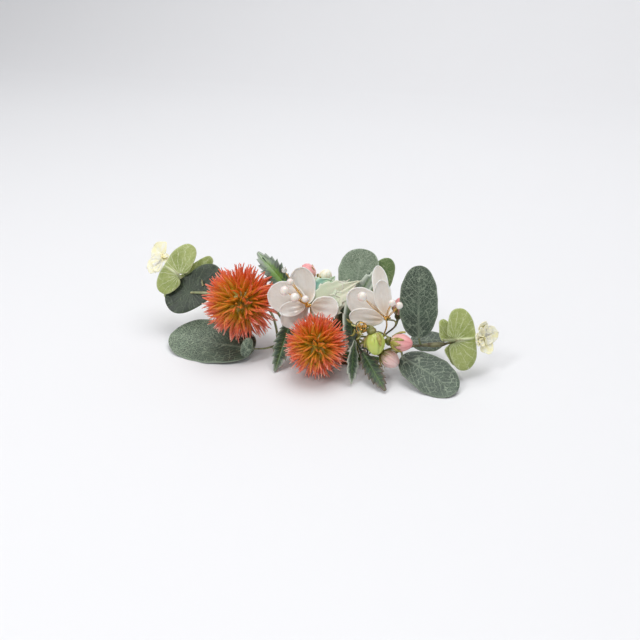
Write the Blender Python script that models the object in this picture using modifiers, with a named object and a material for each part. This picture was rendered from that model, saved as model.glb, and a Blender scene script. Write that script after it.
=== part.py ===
"""Hair spray of artificial flowers on a side comb. Metres, +Z up, the spray runs along X, its front faces -Y."""

import math

import bmesh
import bpy
from mathutils import Vector

MM = 0.001

# Driving sizes, in millimetres.
CLEARANCE = 0.35
COMB_WIDTH = 58.0
COMB_CENTRE_X = 0.0
COMB_BACK_Y = -4.0
COMB_THICKNESS = 2.6
COMB_BAR_DEPTH = 6.0
TOOTH_LENGTH = 30.0
TOOTH_WIDTH = 1.8
TOOTH_COUNT = 15
LASHING_RADIUS = 0.35
LASHING_TURNS = 6
LASHING_FIRST_GAP = 5
GROOVE_DEPTH = 1.5
SPINE_LENGTH = 65.0
SPINE_CENTRE_X = 8.5
SPINE_WIRE_RADIUS = 0.7
TAPE_THICKNESS = 1.3
STEM_RADIUS = 0.9
TWIG_RADIUS = 0.7
STALK_RADIUS = 0.5
FLOWER_WIRE_RADIUS = 0.3
FLOWER_STEM_RADIUS = 0.6
LEAF_THICKNESS = 0.5
PETAL_THICKNESS = 0.8
CLOTH_THICKNESS = 0.4
LEFT_BALL_RADIUS = 24.4
FRONT_BALL_RADIUS = 19.8
BALL_CORE_SHARE = 0.55
PEARL_RADIUS = 3.0
SMALL_PEARL_RADIUS = 2.2
FLOWER_CENTRE_RADIUS = 1.3

SPINE_RADIUS = SPINE_WIRE_RADIUS + CLEARANCE + TAPE_THICKNESS
SPINE_Y = COMB_BACK_Y - COMB_BAR_DEPTH / 2
SPINE_Z = COMB_THICKNESS + CLEARANCE + SPINE_RADIUS
SPINE_LEFT = SPINE_CENTRE_X - SPINE_LENGTH / 2
SPINE_RIGHT = SPINE_CENTRE_X + SPINE_LENGTH / 2
COMB_LEFT = COMB_CENTRE_X - COMB_WIDTH / 2
COMB_PITCH = (COMB_WIDTH - TOOTH_WIDTH) / (TOOTH_COUNT - 1)

# The left ball rests on the floor leaf, close to the big petal and the silk. Its centre is NEST_WAY radii back from
# the corner their faces make, so a ball of another radius rests on the leaf too and stays near the other two.
NEST_CORNER = Vector((-14.85, -10.6, 7.82))
NEST_WAY = Vector((1.461, -0.066, -1.032))
LEFT_BALL_CENTRE = NEST_CORNER - LEFT_BALL_RADIUS * NEST_WAY
FRONT_BALL_CENTRE = Vector((6.2, -25.0, FRONT_BALL_RADIUS + 0.4))
LEFT_FLOWER_CENTRE = Vector((-4.0, -11.0, 39.0))
LEFT_FLOWER_FACE = Vector((0.12, -0.82, 0.56))
RIGHT_FLOWER_CENTRE = Vector((45.0, -7.0, 35.5))
RIGHT_FLOWER_FACE = Vector((0.2, -0.82, 0.54))

COLOURS = {
    "dark_leaf": ((0.07, 0.125, 0.09), 0.6, 0.0),
    "light_leaf": ((0.3, 0.39, 0.13), 0.55, 0.0),
    "cream_leaf": ((0.76, 0.68, 0.4), 0.5, 0.0),
    "rose_leaf": ((0.05, 0.1, 0.04), 0.55, 0.0),
    "plastic_stem": ((0.2, 0.24, 0.1), 0.5, 0.0),
    "ball": ((0.5, 0.11, 0.04), 0.5, 0.0),
    "shell_petal": ((0.62, 0.56, 0.5), 0.3, 0.0),
    "pearl": ((0.86, 0.8, 0.74), 0.2, 0.0),
    "gold_wire": ((0.6, 0.38, 0.1), 0.3, 1.0),
    "silk": ((0.5, 0.62, 0.48), 0.6, 0.0),
    "pink_bud": ((0.75, 0.34, 0.35), 0.45, 0.0),
    "green_bud": ((0.4, 0.5, 0.1), 0.35, 0.0),
    "cream_bud": ((0.8, 0.75, 0.55), 0.5, 0.0),
    "tape": ((0.1, 0.16, 0.06), 0.8, 0.0),
    "steel_wire": ((0.35, 0.35, 0.35), 0.35, 1.0),
    "comb_plastic": ((0.55, 0.45, 0.3), 0.3, 0.0),
}


def clear_scene():
    for item in list(bpy.data.objects):
        bpy.data.objects.remove(item, do_unlink=True)


def make_collection(name, helper=False):
    group = bpy.data.collections.new(name)
    bpy.context.scene.collection.children.link(group)
    group.hide_render = helper
    return group


def make_material(name):
    colour, roughness, metallic = COLOURS[name]
    material = bpy.data.materials.new(name)
    material.use_nodes = True
    shader = material.node_tree.nodes["Principled BSDF"]
    shader.inputs["Base Color"].default_value = (*colour, 1.0)
    shader.inputs["Roughness"].default_value = roughness
    shader.inputs["Metallic"].default_value = metallic
    return material


clear_scene()
PARTS = make_collection("flower_hair_spray")
TOOLS = make_collection("cutters", helper=True)
MATERIALS = {key: make_material(key) for key in COLOURS}


def link(name, data, material, group=PARTS):
    item = bpy.data.objects.new(name, data)
    group.objects.link(item)
    data.materials.append(MATERIALS[material])
    if group is TOOLS:
        item.hide_render = True
        item.display_type = "WIRE"
    return item


def smooth_path(points, steps):
    """Points of a Catmull-Rom curve through the given ones."""
    knots = [Vector(point) for point in points]
    knots = [2 * knots[0] - knots[1]] + knots + [2 * knots[-1] - knots[-2]]
    path = []
    for i in range(1, len(knots) - 2):
        a, b, c, d = knots[i - 1 : i + 3]
        for k in range(steps):
            t = k / steps
            path.append(
                0.5 * (2 * b + (c - a) * t + (2 * a - 5 * b + 4 * c - d) * t * t + (3 * b - a - 3 * c + d) * t**3)
            )
    path.append(knots[-2])
    return path


def tube_curve(name, points, radius, shares=None, steps=4, sides=2):
    """A round wire along the points. shares widens it at each given point."""
    path = smooth_path(points, steps) if steps > 1 else [Vector(point) for point in points]
    curve = bpy.data.curves.new(name, "CURVE")
    curve.dimensions = "3D"
    curve.bevel_depth = radius * MM
    curve.bevel_resolution = sides
    curve.use_fill_caps = True
    spline = curve.splines.new("POLY")
    spline.points.add(len(path) - 1)
    for i, place in enumerate(path):
        spline.points[i].co = (*(place * MM), 1.0)
        if shares:
            at = i / steps
            low = min(int(at), len(shares) - 1)
            high = min(low + 1, len(shares) - 1)
            spline.points[i].radius = shares[low] + (shares[high] - shares[low]) * (at - low)
    return curve


def tube(name, points, radius, material, **more):
    return link(name, tube_curve(name, points, radius, **more), material)


def tube_mesh(name, points, radius, **more):
    """The same wire as a closed mesh, for joining."""
    curve = tube_curve(name, points, radius, **more)
    holder = bpy.data.objects.new(name + "_curve", curve)
    TOOLS.objects.link(holder)
    mesh = bpy.data.meshes.new_from_object(holder)
    bpy.data.objects.remove(holder, do_unlink=True)
    shape = bmesh.new()
    shape.from_mesh(mesh)
    bmesh.ops.remove_doubles(shape, verts=shape.verts, dist=1e-6)
    bmesh.ops.recalc_face_normals(shape, faces=shape.faces)
    shape.to_mesh(mesh)
    shape.free()
    return mesh


def ball_mesh(name, centre, radius, rings=8, segments=12):
    shape = bmesh.new()
    bmesh.ops.create_uvsphere(shape, u_segments=segments, v_segments=rings, radius=radius * MM)
    bmesh.ops.translate(shape, verts=shape.verts, vec=Vector(centre) * MM)
    mesh = bpy.data.meshes.new(name)
    shape.to_mesh(mesh)
    shape.free()
    return mesh


def joined(name, meshes, material):
    """One body: the first mesh with the others united to it."""
    item = link(name, meshes[0], material)
    for i, mesh in enumerate(meshes[1:]):
        other = link(f"{name}_add_{i}", mesh, material, TOOLS)
        union = item.modifiers.new(f"join_{i}", "BOOLEAN")
        union.operation = "UNION"
        union.solver = "EXACT"
        union.object = other
    return item


def pearl(name, centre, radius, material="pearl"):
    return link(name, ball_mesh(name, centre, radius), material)


def frame_of(base, tip, face):
    base, tip, face = Vector(base), Vector(tip), Vector(face)
    along = (tip - base).normalized()
    normal = (face - along * face.dot(along)).normalized()
    return base, along, along.cross(normal), normal, (tip - base).length


def sheet(name, base, tip, face, edges, material, thickness, bend=0.0, cup=0.0, rows=12, columns=5, wave=0.0):
    """A thin leaf or petal. edges(u) gives its two side edges, bend arches it and cup rolls the sides forward."""
    start, along, side, normal, length = frame_of(base, tip, face)
    shape = bmesh.new()
    grid = []
    for i in range(rows + 1):
        u = i / rows
        low, high = edges(u)
        row = []
        for j in range(columns + 1):
            y = low + (high - low) * j / columns
            lift = bend * math.sin(math.pi * u) + cup * (y / 10.0) ** 2
            lift += wave * math.sin(2.5 * math.pi * u) * (y / 10.0)
            row.append(shape.verts.new((start + along * length * u + side * y + normal * lift) * MM))
        grid.append(row)
    for i in range(rows):
        for j in range(columns):
            shape.faces.new((grid[i][j], grid[i][j + 1], grid[i + 1][j + 1], grid[i + 1][j]))
    bmesh.ops.recalc_face_normals(shape, faces=shape.faces)
    mesh = bpy.data.meshes.new(name)
    shape.to_mesh(mesh)
    shape.free()
    item = link(name, mesh, material)
    skin = item.modifiers.new("thickness", "SOLIDIFY")
    skin.thickness = thickness * MM
    skin.offset = 0.0
    skin.use_even_offset = False
    return item


def oval(width, fullest=0.5, power=2.2, stalk=0.08):
    """Edges of a rounded leaf, widest at the share fullest of its length."""
    def edges(u):
        t = 0.5 * u / fullest if u < fullest else 0.5 + 0.5 * (u - fullest) / (1 - fullest)
        half = 0.5 * width * max(stalk, (1 - abs(2 * t - 1) ** power) ** (1 / power))
        return -half, half
    return edges


def two_lobes(width, notch=0.6, dent=0.06):
    """Edges of a pair of leaves in one piece, with a slit for the stem on its low side."""
    def edges(u):
        half = 0.5 * width * max(0.1, (1 - abs(2 * u - 1) ** 2.4) ** (1 / 2.4))
        middle = math.exp(-(((u - 0.5) / (0.061 * STEM_RADIUS)) ** 2))
        shallow = math.exp(-(((u - 0.5) / 0.16) ** 2))
        return -half + notch * width * middle, half - dent * width * shallow
    return edges


def toothed(width, teeth=7, depth=0.22, fullest=0.42):
    """Edges of a pointed leaf with teeth towards the tip. Two rows per tooth."""
    def edges(u):
        t = 0.5 * u / fullest if u < fullest else 0.5 + 0.5 * (u - fullest) / (1 - fullest)
        half = 0.5 * width * max(0.07, math.sin(math.pi * t) ** 0.8)
        if 0.12 < u < 0.95 and round(u * teeth * 2) % 2:
            half *= 1 - depth
        return -half, half
    return edges


def whorl(name, centre, face, up, lobes, material, thickness, hole, cup, spokes=8, rings=4):
    """A flower of cloth in one piece with a hole for its stem. lobes lists (angle, reach, half width in degrees)."""
    centre, face, up = Vector(centre), Vector(face).normalized(), Vector(up)
    x_axis = up.cross(face).normalized()
    y_axis = face.cross(x_axis).normalized()
    angles = []
    for k, (angle, reach, half) in enumerate(lobes):
        after = lobes[(k + 1) % len(lobes)][0] + (360.0 if k == len(lobes) - 1 else 0.0)
        for i in range(spokes):
            share = i / spokes
            angles.append((angle + (after - angle) * share, k, share))
    shape = bmesh.new()
    grid = []
    waist = min(reach for _, reach, _ in lobes) * 0.3
    for angle, k, share in angles:
        here, there = lobes[k], lobes[(k + 1) % len(lobes)]
        gap = (there[0] - here[0]) % 360.0
        from_here, from_there = share * gap, (1 - share) * gap
        reach = waist
        for offset, lobe in ((from_here, here), (from_there, there)):
            if offset < lobe[2]:
                reach = max(reach, waist + (lobe[1] - waist) * (1 - (offset / lobe[2]) ** 2.6) ** (1 / 2.0))
        turn = math.radians(angle)
        ray = x_axis * math.cos(turn) + y_axis * math.sin(turn)
        row = []
        for j in range(rings + 1):
            distance = hole + (reach - hole) * j / rings
            lift = cup * (distance / 10.0) ** 2
            row.append(shape.verts.new((centre + ray * distance + face * lift) * MM))
        grid.append(row)
    for i in range(len(grid)):
        first, second = grid[i], grid[(i + 1) % len(grid)]
        for j in range(rings):
            shape.faces.new((first[j], first[j + 1], second[j + 1], second[j]))
    bmesh.ops.recalc_face_normals(shape, faces=shape.faces)
    mesh = bpy.data.meshes.new(name)
    shape.to_mesh(mesh)
    shape.free()
    item = link(name, mesh, material)
    skin = item.modifiers.new("thickness", "SOLIDIFY")
    skin.thickness = thickness * MM
    skin.offset = 0.0
    return item


def spiky_ball(name, centre, radius, stem_from):
    """A core with one pointed spike on each of its 320 faces, left bare where the stem enters."""
    shape = bmesh.new()
    bmesh.ops.create_icosphere(shape, subdivisions=3, radius=1.0)
    core = radius * BALL_CORE_SHARE
    stem_side = (Vector(stem_from) - centre).normalized()
    spiked = [f for f in shape.faces if f.calc_center_median().normalized().dot(stem_side) < 0.9]
    tips = bmesh.ops.poke(shape, faces=spiked)["verts"]
    outer = set(tips)
    for vertex in shape.verts:
        reach = radius if vertex in outer else core
        vertex.co = (centre + vertex.co.normalized() * reach) * MM
    bmesh.ops.recalc_face_normals(shape, faces=shape.faces)
    mesh = bpy.data.meshes.new(name)
    shape.to_mesh(mesh)
    shape.free()
    return link(name, mesh, "ball")


def ball_stem(name, start, knee, centre, radius):
    way = (centre - knee).normalized()
    end = centre - way * (radius * BALL_CORE_SHARE + CLEARANCE)
    return tube(name, [start, knee, end], STEM_RADIUS, "plastic_stem")


def bud(name, base, tip, radius, material):
    """An egg with a flat foot, turned about its own axis."""
    base, tip = Vector(base), Vector(tip)
    length = (tip - base).length
    profile = [(0.0, 0.0), (0.45, 0.0), (0.8, 0.14), (0.98, 0.34), (1.0, 0.5), (0.86, 0.7), (0.6, 0.87), (0.3, 0.97)]
    profile.append((0.0, 1.0))
    shape = bmesh.new()
    points = [shape.verts.new((r * radius * MM, 0.0, h * length * MM)) for r, h in profile]
    for a, b in zip(points, points[1:]):
        shape.edges.new((a, b))
    bmesh.ops.spin(
        shape,
        geom=shape.verts[:] + shape.edges[:],
        cent=(0, 0, 0),
        axis=(0, 0, 1),
        angle=2 * math.pi,
        steps=14,
        use_merge=True,
        use_normal_flip=False,
    )
    bmesh.ops.remove_doubles(shape, verts=shape.verts, dist=1e-6)
    bmesh.ops.recalc_face_normals(shape, faces=shape.faces)
    mesh = bpy.data.meshes.new(name)
    shape.to_mesh(mesh)
    shape.free()
    item = link(name, mesh, material)
    item.location = base * MM
    item.rotation_mode = "QUATERNION"
    item.rotation_quaternion = Vector((0, 0, 1)).rotation_difference(tip - base)
    return item


def calyx_twig(name, points, foot, tip, bud_radius):
    """A twig that widens into the cup under a bud and stops the clearance short of it."""
    foot, tip = Vector(foot), Vector(tip)
    way = (tip - foot).normalized()
    end = foot - way * CLEARANCE
    cup = 0.62 * bud_radius / TWIG_RADIUS
    path = [Vector(p) for p in points] + [end - way * 4.5, end - way * 2.2, end]
    shares = [1.0] * len(points) + [1.3, cup, cup]
    return tube_mesh(name, path, TWIG_RADIUS, shares=shares, steps=3, sides=1)


def on_spine(x, turn, extra):
    """The place beside the taped spine where a stem starts. turn 0 is the top, 90 the front."""
    angle = math.radians(turn)
    reach = SPINE_RADIUS + CLEARANCE + extra
    return Vector((x, SPINE_Y - reach * math.sin(angle), SPINE_Z + reach * math.cos(angle)))


def lashing_x(turn):
    """Where a turn of the lashing comes up behind the comb bar, in the middle of a gap between teeth."""
    return COMB_LEFT + TOOTH_WIDTH + (COMB_PITCH - TOOTH_WIDTH) / 2 + (LASHING_FIRST_GAP + turn - 1) * COMB_PITCH


def make_comb():
    left, pitch = COMB_LEFT, COMB_PITCH
    front = COMB_BACK_Y - COMB_BAR_DEPTH
    outline = [(left, front), (left + COMB_WIDTH, front)]
    for i in reversed(range(TOOTH_COUNT)):
        root = left + i * pitch
        end = COMB_BACK_Y + TOOTH_LENGTH
        outline += [(root + TOOTH_WIDTH, COMB_BACK_Y), (root + TOOTH_WIDTH * 0.8, end)]
        outline += [(root + TOOTH_WIDTH * 0.2, end), (root, COMB_BACK_Y)]
    clean = []
    for point in outline:
        if not clean or (Vector(point) - Vector(clean[-1])).length > 1e-4:
            clean.append(point)
    shape = bmesh.new()
    corners = [shape.verts.new((x * MM, y * MM, 0.0)) for x, y in clean]
    face = shape.faces.new(corners)
    top = bmesh.ops.extrude_face_region(shape, geom=[face])["geom"]
    risen = [item for item in top if isinstance(item, bmesh.types.BMVert)]
    bmesh.ops.translate(shape, verts=risen, vec=(0, 0, COMB_THICKNESS * MM))
    bmesh.ops.recalc_face_normals(shape, faces=shape.faces)
    mesh = bpy.data.meshes.new("hair_comb")
    shape.to_mesh(mesh)
    shape.free()
    comb = link("hair_comb", mesh, "comb_plastic")
    low = left + TOOTH_WIDTH + (LASHING_FIRST_GAP - 1.1) * pitch
    high = low + (LASHING_TURNS + 0.4) * pitch
    block = bmesh.new()
    bmesh.ops.create_cube(block, size=1.0)
    for vertex in block.verts:
        vertex.co.x = (low + high) / 2 * MM + vertex.co.x * (high - low) * MM
        vertex.co.y = SPINE_Y * MM + vertex.co.y * (COMB_BAR_DEPTH + 4.0) * MM
        vertex.co.z = vertex.co.z * 2 * GROOVE_DEPTH * MM
    mesh = bpy.data.meshes.new("groove")
    block.to_mesh(mesh)
    block.free()
    cut = comb.modifiers.new("groove", "BOOLEAN")
    cut.operation = "DIFFERENCE"
    cut.solver = "EXACT"
    cut.object = link("groove", mesh, "comb_plastic", TOOLS)


def make_lashing():
    """Wire wound round the comb bar and the spine, one turn in each gap between teeth."""
    r = LASHING_RADIUS
    back = COMB_BACK_Y + CLEARANCE + r
    front = COMB_BACK_Y - COMB_BAR_DEPTH - CLEARANCE - r
    low = GROOVE_DEPTH - CLEARANCE - r
    high = SPINE_Z + SPINE_RADIUS + CLEARANCE + r
    path = []
    for turn in range(LASHING_TURNS):
        x, pitch = lashing_x(turn), COMB_PITCH
        path += [(x, back - 0.6, low), (x, back, low + 0.6), (x, back, SPINE_Z)]
        path += [(x + 0.1 * pitch, SPINE_Y + 1.4, high), (x + 0.35 * pitch, SPINE_Y - 1.4, high)]
        path += [(x + 0.7 * pitch, front, SPINE_Z), (x + pitch, front, low + 0.6)]
        if turn < LASHING_TURNS - 1:
            path += [(x + pitch, front + 0.6, low)]
    tube("comb_lashing", path, r, "steel_wire", steps=1)


def make_spine():
    length = SPINE_LENGTH
    outer = SPINE_RADIUS
    inner = SPINE_WIRE_RADIUS + CLEARANCE
    shape = bmesh.new()
    profile = [(inner, 0.0), (outer, 0.0), (outer, length), (inner, length)]
    points = [shape.verts.new((0.0, r * MM, x * MM)) for r, x in profile]
    for a, b in zip(points, points[1:] + points[:1]):
        shape.edges.new((a, b))
    bmesh.ops.spin(
        shape,
        geom=shape.verts[:] + shape.edges[:],
        cent=(0, 0, 0),
        axis=(0, 0, 1),
        angle=2 * math.pi,
        steps=16,
        use_merge=True,
    )
    bmesh.ops.remove_doubles(shape, verts=shape.verts, dist=1e-6)
    bmesh.ops.recalc_face_normals(shape, faces=shape.faces)
    mesh = bpy.data.meshes.new("stem_tape")
    shape.to_mesh(mesh)
    shape.free()
    tape = link("stem_tape", mesh, "tape")
    tape.location = (SPINE_LEFT * MM, SPINE_Y * MM, SPINE_Z * MM)
    tape.rotation_euler = (0.0, math.pi / 2, 0.0)
    ends = [(SPINE_LEFT - 2.0, SPINE_Y, SPINE_Z), (SPINE_RIGHT + 2.0, SPINE_Y, SPINE_Z)]
    tube("spine_wire", ends, SPINE_WIRE_RADIUS, "steel_wire", steps=1)


def off_left(x, y, z):
    """A place given from the left end of the spine, so the left sprig goes where the spine ends."""
    return Vector((SPINE_LEFT + x, y, z))


def off_right(x, y, z):
    """A place given from the right end of the spine."""
    return Vector((SPINE_RIGHT + x, y, z))


def make_left_sprig():
    path = [(-3.0 - CLEARANCE, SPINE_Y, SPINE_Z), (-7, 2, 10), (-16, 14, 17), (-30, 20, 21), (-42, 18.5, 25)]
    path += [(-53, 11, 29), (-62, 6.5, 32.5), (-73, 7.5, 38), (-83, 10.5, 43), (-90.6, 11, 46)]
    shares = [1, 1, 1, 1, 1, 1, 1, 1.5, 0.8, 0.7]
    tube("left_stem", [off_left(*point) for point in path], STEM_RADIUS, "plastic_stem", shares=shares)
    sheet("left_floor_leaf", off_left(-15, -18.5, 5.7), off_left(-75.5, -16.5, 5.9), (-0.02, -0.25, 0.97),
          oval(39, 0.55), "dark_leaf", LEAF_THICKNESS, bend=-1.5, cup=0.4)
    under_ball = LEFT_BALL_CENTRE + LEFT_BALL_RADIUS * Vector((0.492, -0.676, -0.635))
    sheet("left_low_leaf", under_ball, under_ball + Vector((-2.5, -4.5, -11)), (0.32, -0.88, 0.34), oval(7, 0.5),
          "dark_leaf", LEAF_THICKNESS, bend=1.0, rows=8, columns=3)
    sheet("left_dark_pair", off_left(-50, 11.5, 44), off_left(-82, -8, 21.5), (0.07, -0.82, 0.57),
          two_lobes(26, notch=0.12), "dark_leaf", LEAF_THICKNESS, bend=-1.0, cup=0.6, rows=24)
    sheet("left_rear_pair", off_left(-60, 19.5, 48.5), off_left(-89, 1.5, 22.5), (0.07, -0.82, 0.57),
          two_lobes(13), "light_leaf", LEAF_THICKNESS, bend=-1.0, rows=24, columns=3)
    sheet("left_light_pair", off_left(-73, 17, 57), off_left(-87, -6, 30), (0.21, -0.79, 0.57),
          two_lobes(18, notch=0.3), "light_leaf", LEAF_THICKNESS, bend=1.5, cup=0.8, rows=24)
    whorl("left_tip_whorl", off_left(-92.5, 11.2, 46.8), (-0.55, -0.5, 0.6), (0, 0, 1),
          [(20, 7, 38), (100, 10, 40), (165, 12, 34), (250, 12, 38)], "cream_leaf", LEAF_THICKNESS, 1.2, 3.0)


def make_right_sprig():
    path = [(3.0 + CLEARANCE, SPINE_Y, SPINE_Z), (8, -3, 8.5), (15, -1, 14), (25, 0, 17), (32, 0, 18.6)]
    path += [(37, 0, 19.8), (40, 0, 20.8), (44, 2, 21.8), (52, 6.5, 23.5), (60, 8.5, 24.5)]
    shares = [1, 1, 1, 1, 2.0, 2.0, 1.0, 0.8, 0.8, 0.7]
    tube("right_stem", [off_right(*point) for point in path], STEM_RADIUS, "plastic_stem", shares=shares)
    sheet("right_upright_leaf", off_right(23.5, -1.5, 23), off_right(19, 7, 67), (0.25, -0.94, 0.21),
          oval(23, 0.45), "dark_leaf", LEAF_THICKNESS, bend=-1.5, cup=0.8)
    sheet("right_rear_leaf", off_right(17, 10, 13), off_right(37, 17, 14.5), (0.10, -0.35, 0.93),
          oval(16, 0.5), "dark_leaf", LEAF_THICKNESS, bend=-1.0)
    sheet("right_floor_leaf", off_right(15, -9, 12), off_right(51.5, -23, 2.6), (0.04, -0.47, 0.88),
          oval(25, 0.55), "dark_leaf", LEAF_THICKNESS, bend=1.0, cup=0.5)
    sheet("right_light_pair", off_right(49, -3, 9), off_right(36, 6, 34), (0.75, -0.43, 0.50),
          two_lobes(13, notch=0.75), "light_leaf", LEAF_THICKNESS, rows=24, columns=3)
    sheet("right_wide_pair", off_right(54, -6, 8), off_right(45, 8, 42), (0.45, -0.78, 0.42),
          two_lobes(19, notch=0.3), "light_leaf", LEAF_THICKNESS, bend=1.0, cup=0.8, rows=24)
    whorl("right_tip_whorl", off_right(60.8, 8.6, 24.7), (0.8, -0.4, 0.3), (0, 0, 1),
          [(0, 9, 40), (80, 8, 40), (175, 8, 40), (265, 9, 40)], "cream_leaf", LEAF_THICKNESS, 1.2, 4.0)


def make_back_sprig():
    start = on_spine(20, -45, STEM_RADIUS)
    tube("back_stem", [start, (21, 3, 15), (22, 10, 28), (26, 14, 38)], STEM_RADIUS, "plastic_stem",
         shares=[1, 1, 1, 0.8])
    sheet("back_round_leaf", (20, 9, 39), (20, 27, 65), (0.07, -0.76, 0.64), oval(26, 0.55),
          "dark_leaf", LEAF_THICKNESS, bend=-1.0, cup=0.8)
    sheet("back_light_leaf", (31, 19, 34), (37, 29, 60), (0.58, -0.69, 0.42), oval(16, 0.5),
          "light_leaf", LEAF_THICKNESS, bend=-1.0)


def make_balls():
    left_start = on_spine(-21, -60, STEM_RADIUS)
    front_start = on_spine(8, 60, STEM_RADIUS)
    left_knee = Vector((-31, 6, 21))
    front_knee = front_start + (FRONT_BALL_CENTRE - front_start) * 0.25
    spiky_ball("left_ball", LEFT_BALL_CENTRE, LEFT_BALL_RADIUS, left_knee)
    ball_stem("left_ball_stem", left_start, left_knee, LEFT_BALL_CENTRE, LEFT_BALL_RADIUS)
    spiky_ball("front_ball", FRONT_BALL_CENTRE, FRONT_BALL_RADIUS, front_knee)
    ball_stem("front_ball_stem", front_start, front_knee, FRONT_BALL_CENTRE, FRONT_BALL_RADIUS)


def petal(name, centre, face, tip, width, lift, bend, cup, fullest=0.6, wave=0.0):
    """A shell petal that starts beside the flower's centre bead, lifted along its face by lift."""
    face = Vector(face).normalized()
    tip = Vector(tip)
    foot = centre + face * lift
    way = (tip - foot).normalized()
    base = foot + way * (FLOWER_CENTRE_RADIUS + CLEARANCE + PETAL_THICKNESS / 2)
    sheet(name, base, tip, face, oval(width, fullest, 2.0, 0.12), "shell_petal", PETAL_THICKNESS,
          bend=bend, cup=cup, wave=wave, rows=10, columns=6)


def stamens(name, centre, stem, pearls):
    """Centre bead, stem and a wire to each pearl, in one piece."""
    meshes = [ball_mesh(name, centre, FLOWER_CENTRE_RADIUS)]
    meshes.append(tube_mesh(name + "_stem", [centre] + [Vector(p) for p in stem], FLOWER_STEM_RADIUS, sides=1))
    for i, (place, radius, middle) in enumerate(pearls):
        place = Vector(place)
        knee = Vector(middle)
        end = place - (place - knee).normalized() * (radius + CLEARANCE)
        meshes.append(tube_mesh(f"{name}_{i}", [centre, knee, end], FLOWER_WIRE_RADIUS, sides=1, steps=3))
    joined(name, meshes, "gold_wire")


def make_left_flower():
    centre, face = LEFT_FLOWER_CENTRE, LEFT_FLOWER_FACE.normalized()
    petal("left_petal_big", centre, (0, -0.87, 0.5), (-29.5, -12.5, 45.5), 19, 0.2, -2.0, 1.0)
    petal("left_petal_top", centre, (0.32, -0.69, 0.64), (-14.5, 2.5, 57.5), 16, -3.6, -2.0, 1.0)
    petal("left_petal_small", centre, (0.15, -0.85, 0.5), (-20, -18, 36), 9, 2.2, -1.0, 1.0)
    petal("left_petal_low", centre, (0.05, -0.9, 0.3), (-20, -14.5, 25), 13, -1.8, -1.0, 1.0, wave=1.0)
    petal("left_petal_right", centre, (0.43, -0.75, 0.5), (13.5, -5, 36.5), 14, 0.0, -1.2, 1.0)
    pearls = [
        ("left_pearl_1", (-17, -18, 50.5), PEARL_RADIUS),
        ("left_pearl_2", (-10, -19, 47.5), PEARL_RADIUS * 0.95),
        ("left_pearl_3", (-3.5, -18, 47), SMALL_PEARL_RADIUS),
        ("left_pearl_4", (-15, -13, 54.5), SMALL_PEARL_RADIUS),
        ("left_pearl_5", (-21, -7, 59), SMALL_PEARL_RADIUS * 0.8),
    ]
    knees = [(-9.5, -15.5, 44.5), (-6.5, -16, 43), (-3.5, -15, 42.5), (-8.5, -13.5, 47), (-14, -10, 52)]
    wires = []
    for (name, place, radius), knee in zip(pearls, knees):
        pearl(name, place, radius)
        wires.append((place, radius, knee))
    start = on_spine(lashing_x(1) + 0.7 * COMB_PITCH, 0, FLOWER_STEM_RADIUS)
    stem = [centre - face * 4, centre - face * 8, centre - face * 12 + Vector((0, 0, -8)), (-2, -2, 20), start]
    stamens("left_flower_wires", centre, stem, wires)
    whorl("silk_blossom", centre - face * 6.0, face, (0, 0, 1),
          [(-8, 20, 20), (12, 26, 18), (32, 35, 18), (56, 25, 20), (112, 26, 34), (165, 26, 24)],
          "silk", CLOTH_THICKNESS, FLOWER_STEM_RADIUS + 2 * CLEARANCE, -0.35, spokes=10, rings=5)


def make_right_flower():
    centre, face = RIGHT_FLOWER_CENTRE, RIGHT_FLOWER_FACE.normalized()
    petal("right_petal_big", centre, (0.14, -0.81, 0.57), (20, -4, 48.5), 17, -1.0, -2.5, 1.2)
    petal("right_petal_up", centre, (0.5, -0.71, 0.5), (38.5, 1, 57), 11, 1.0, -2.0, 2.0)
    petal("right_petal_low", centre, (0.16, -0.93, 0.34), (23, -12, 36.5), 11, 2.0, -1.5, 1.0)
    petal("right_petal_back", centre, (0.22, -0.6, 0.77), (33, 15, 60), 10, -3.0, -1.5, 1.0)
    pearls = [
        ("right_pearl_1", (31, -14, 52), PEARL_RADIUS),
        ("right_pearl_2", (49, -13, 50), SMALL_PEARL_RADIUS),
        ("right_pearl_3", (53, -11, 48), SMALL_PEARL_RADIUS),
    ]
    knees = [(38, -12, 44), (46, -11, 43), (49, -10.5, 42)]
    wires = []
    for (name, place, radius), knee in zip(pearls, knees):
        pearl(name, place, radius)
        wires.append((place, radius, knee))
    start = on_spine(39, -20, FLOWER_STEM_RADIUS)
    stem = [centre - face * 5, (43, 3, 24), (40, 1, 14), start]
    stamens("right_flower_wires", centre, stem, wires)


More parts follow.
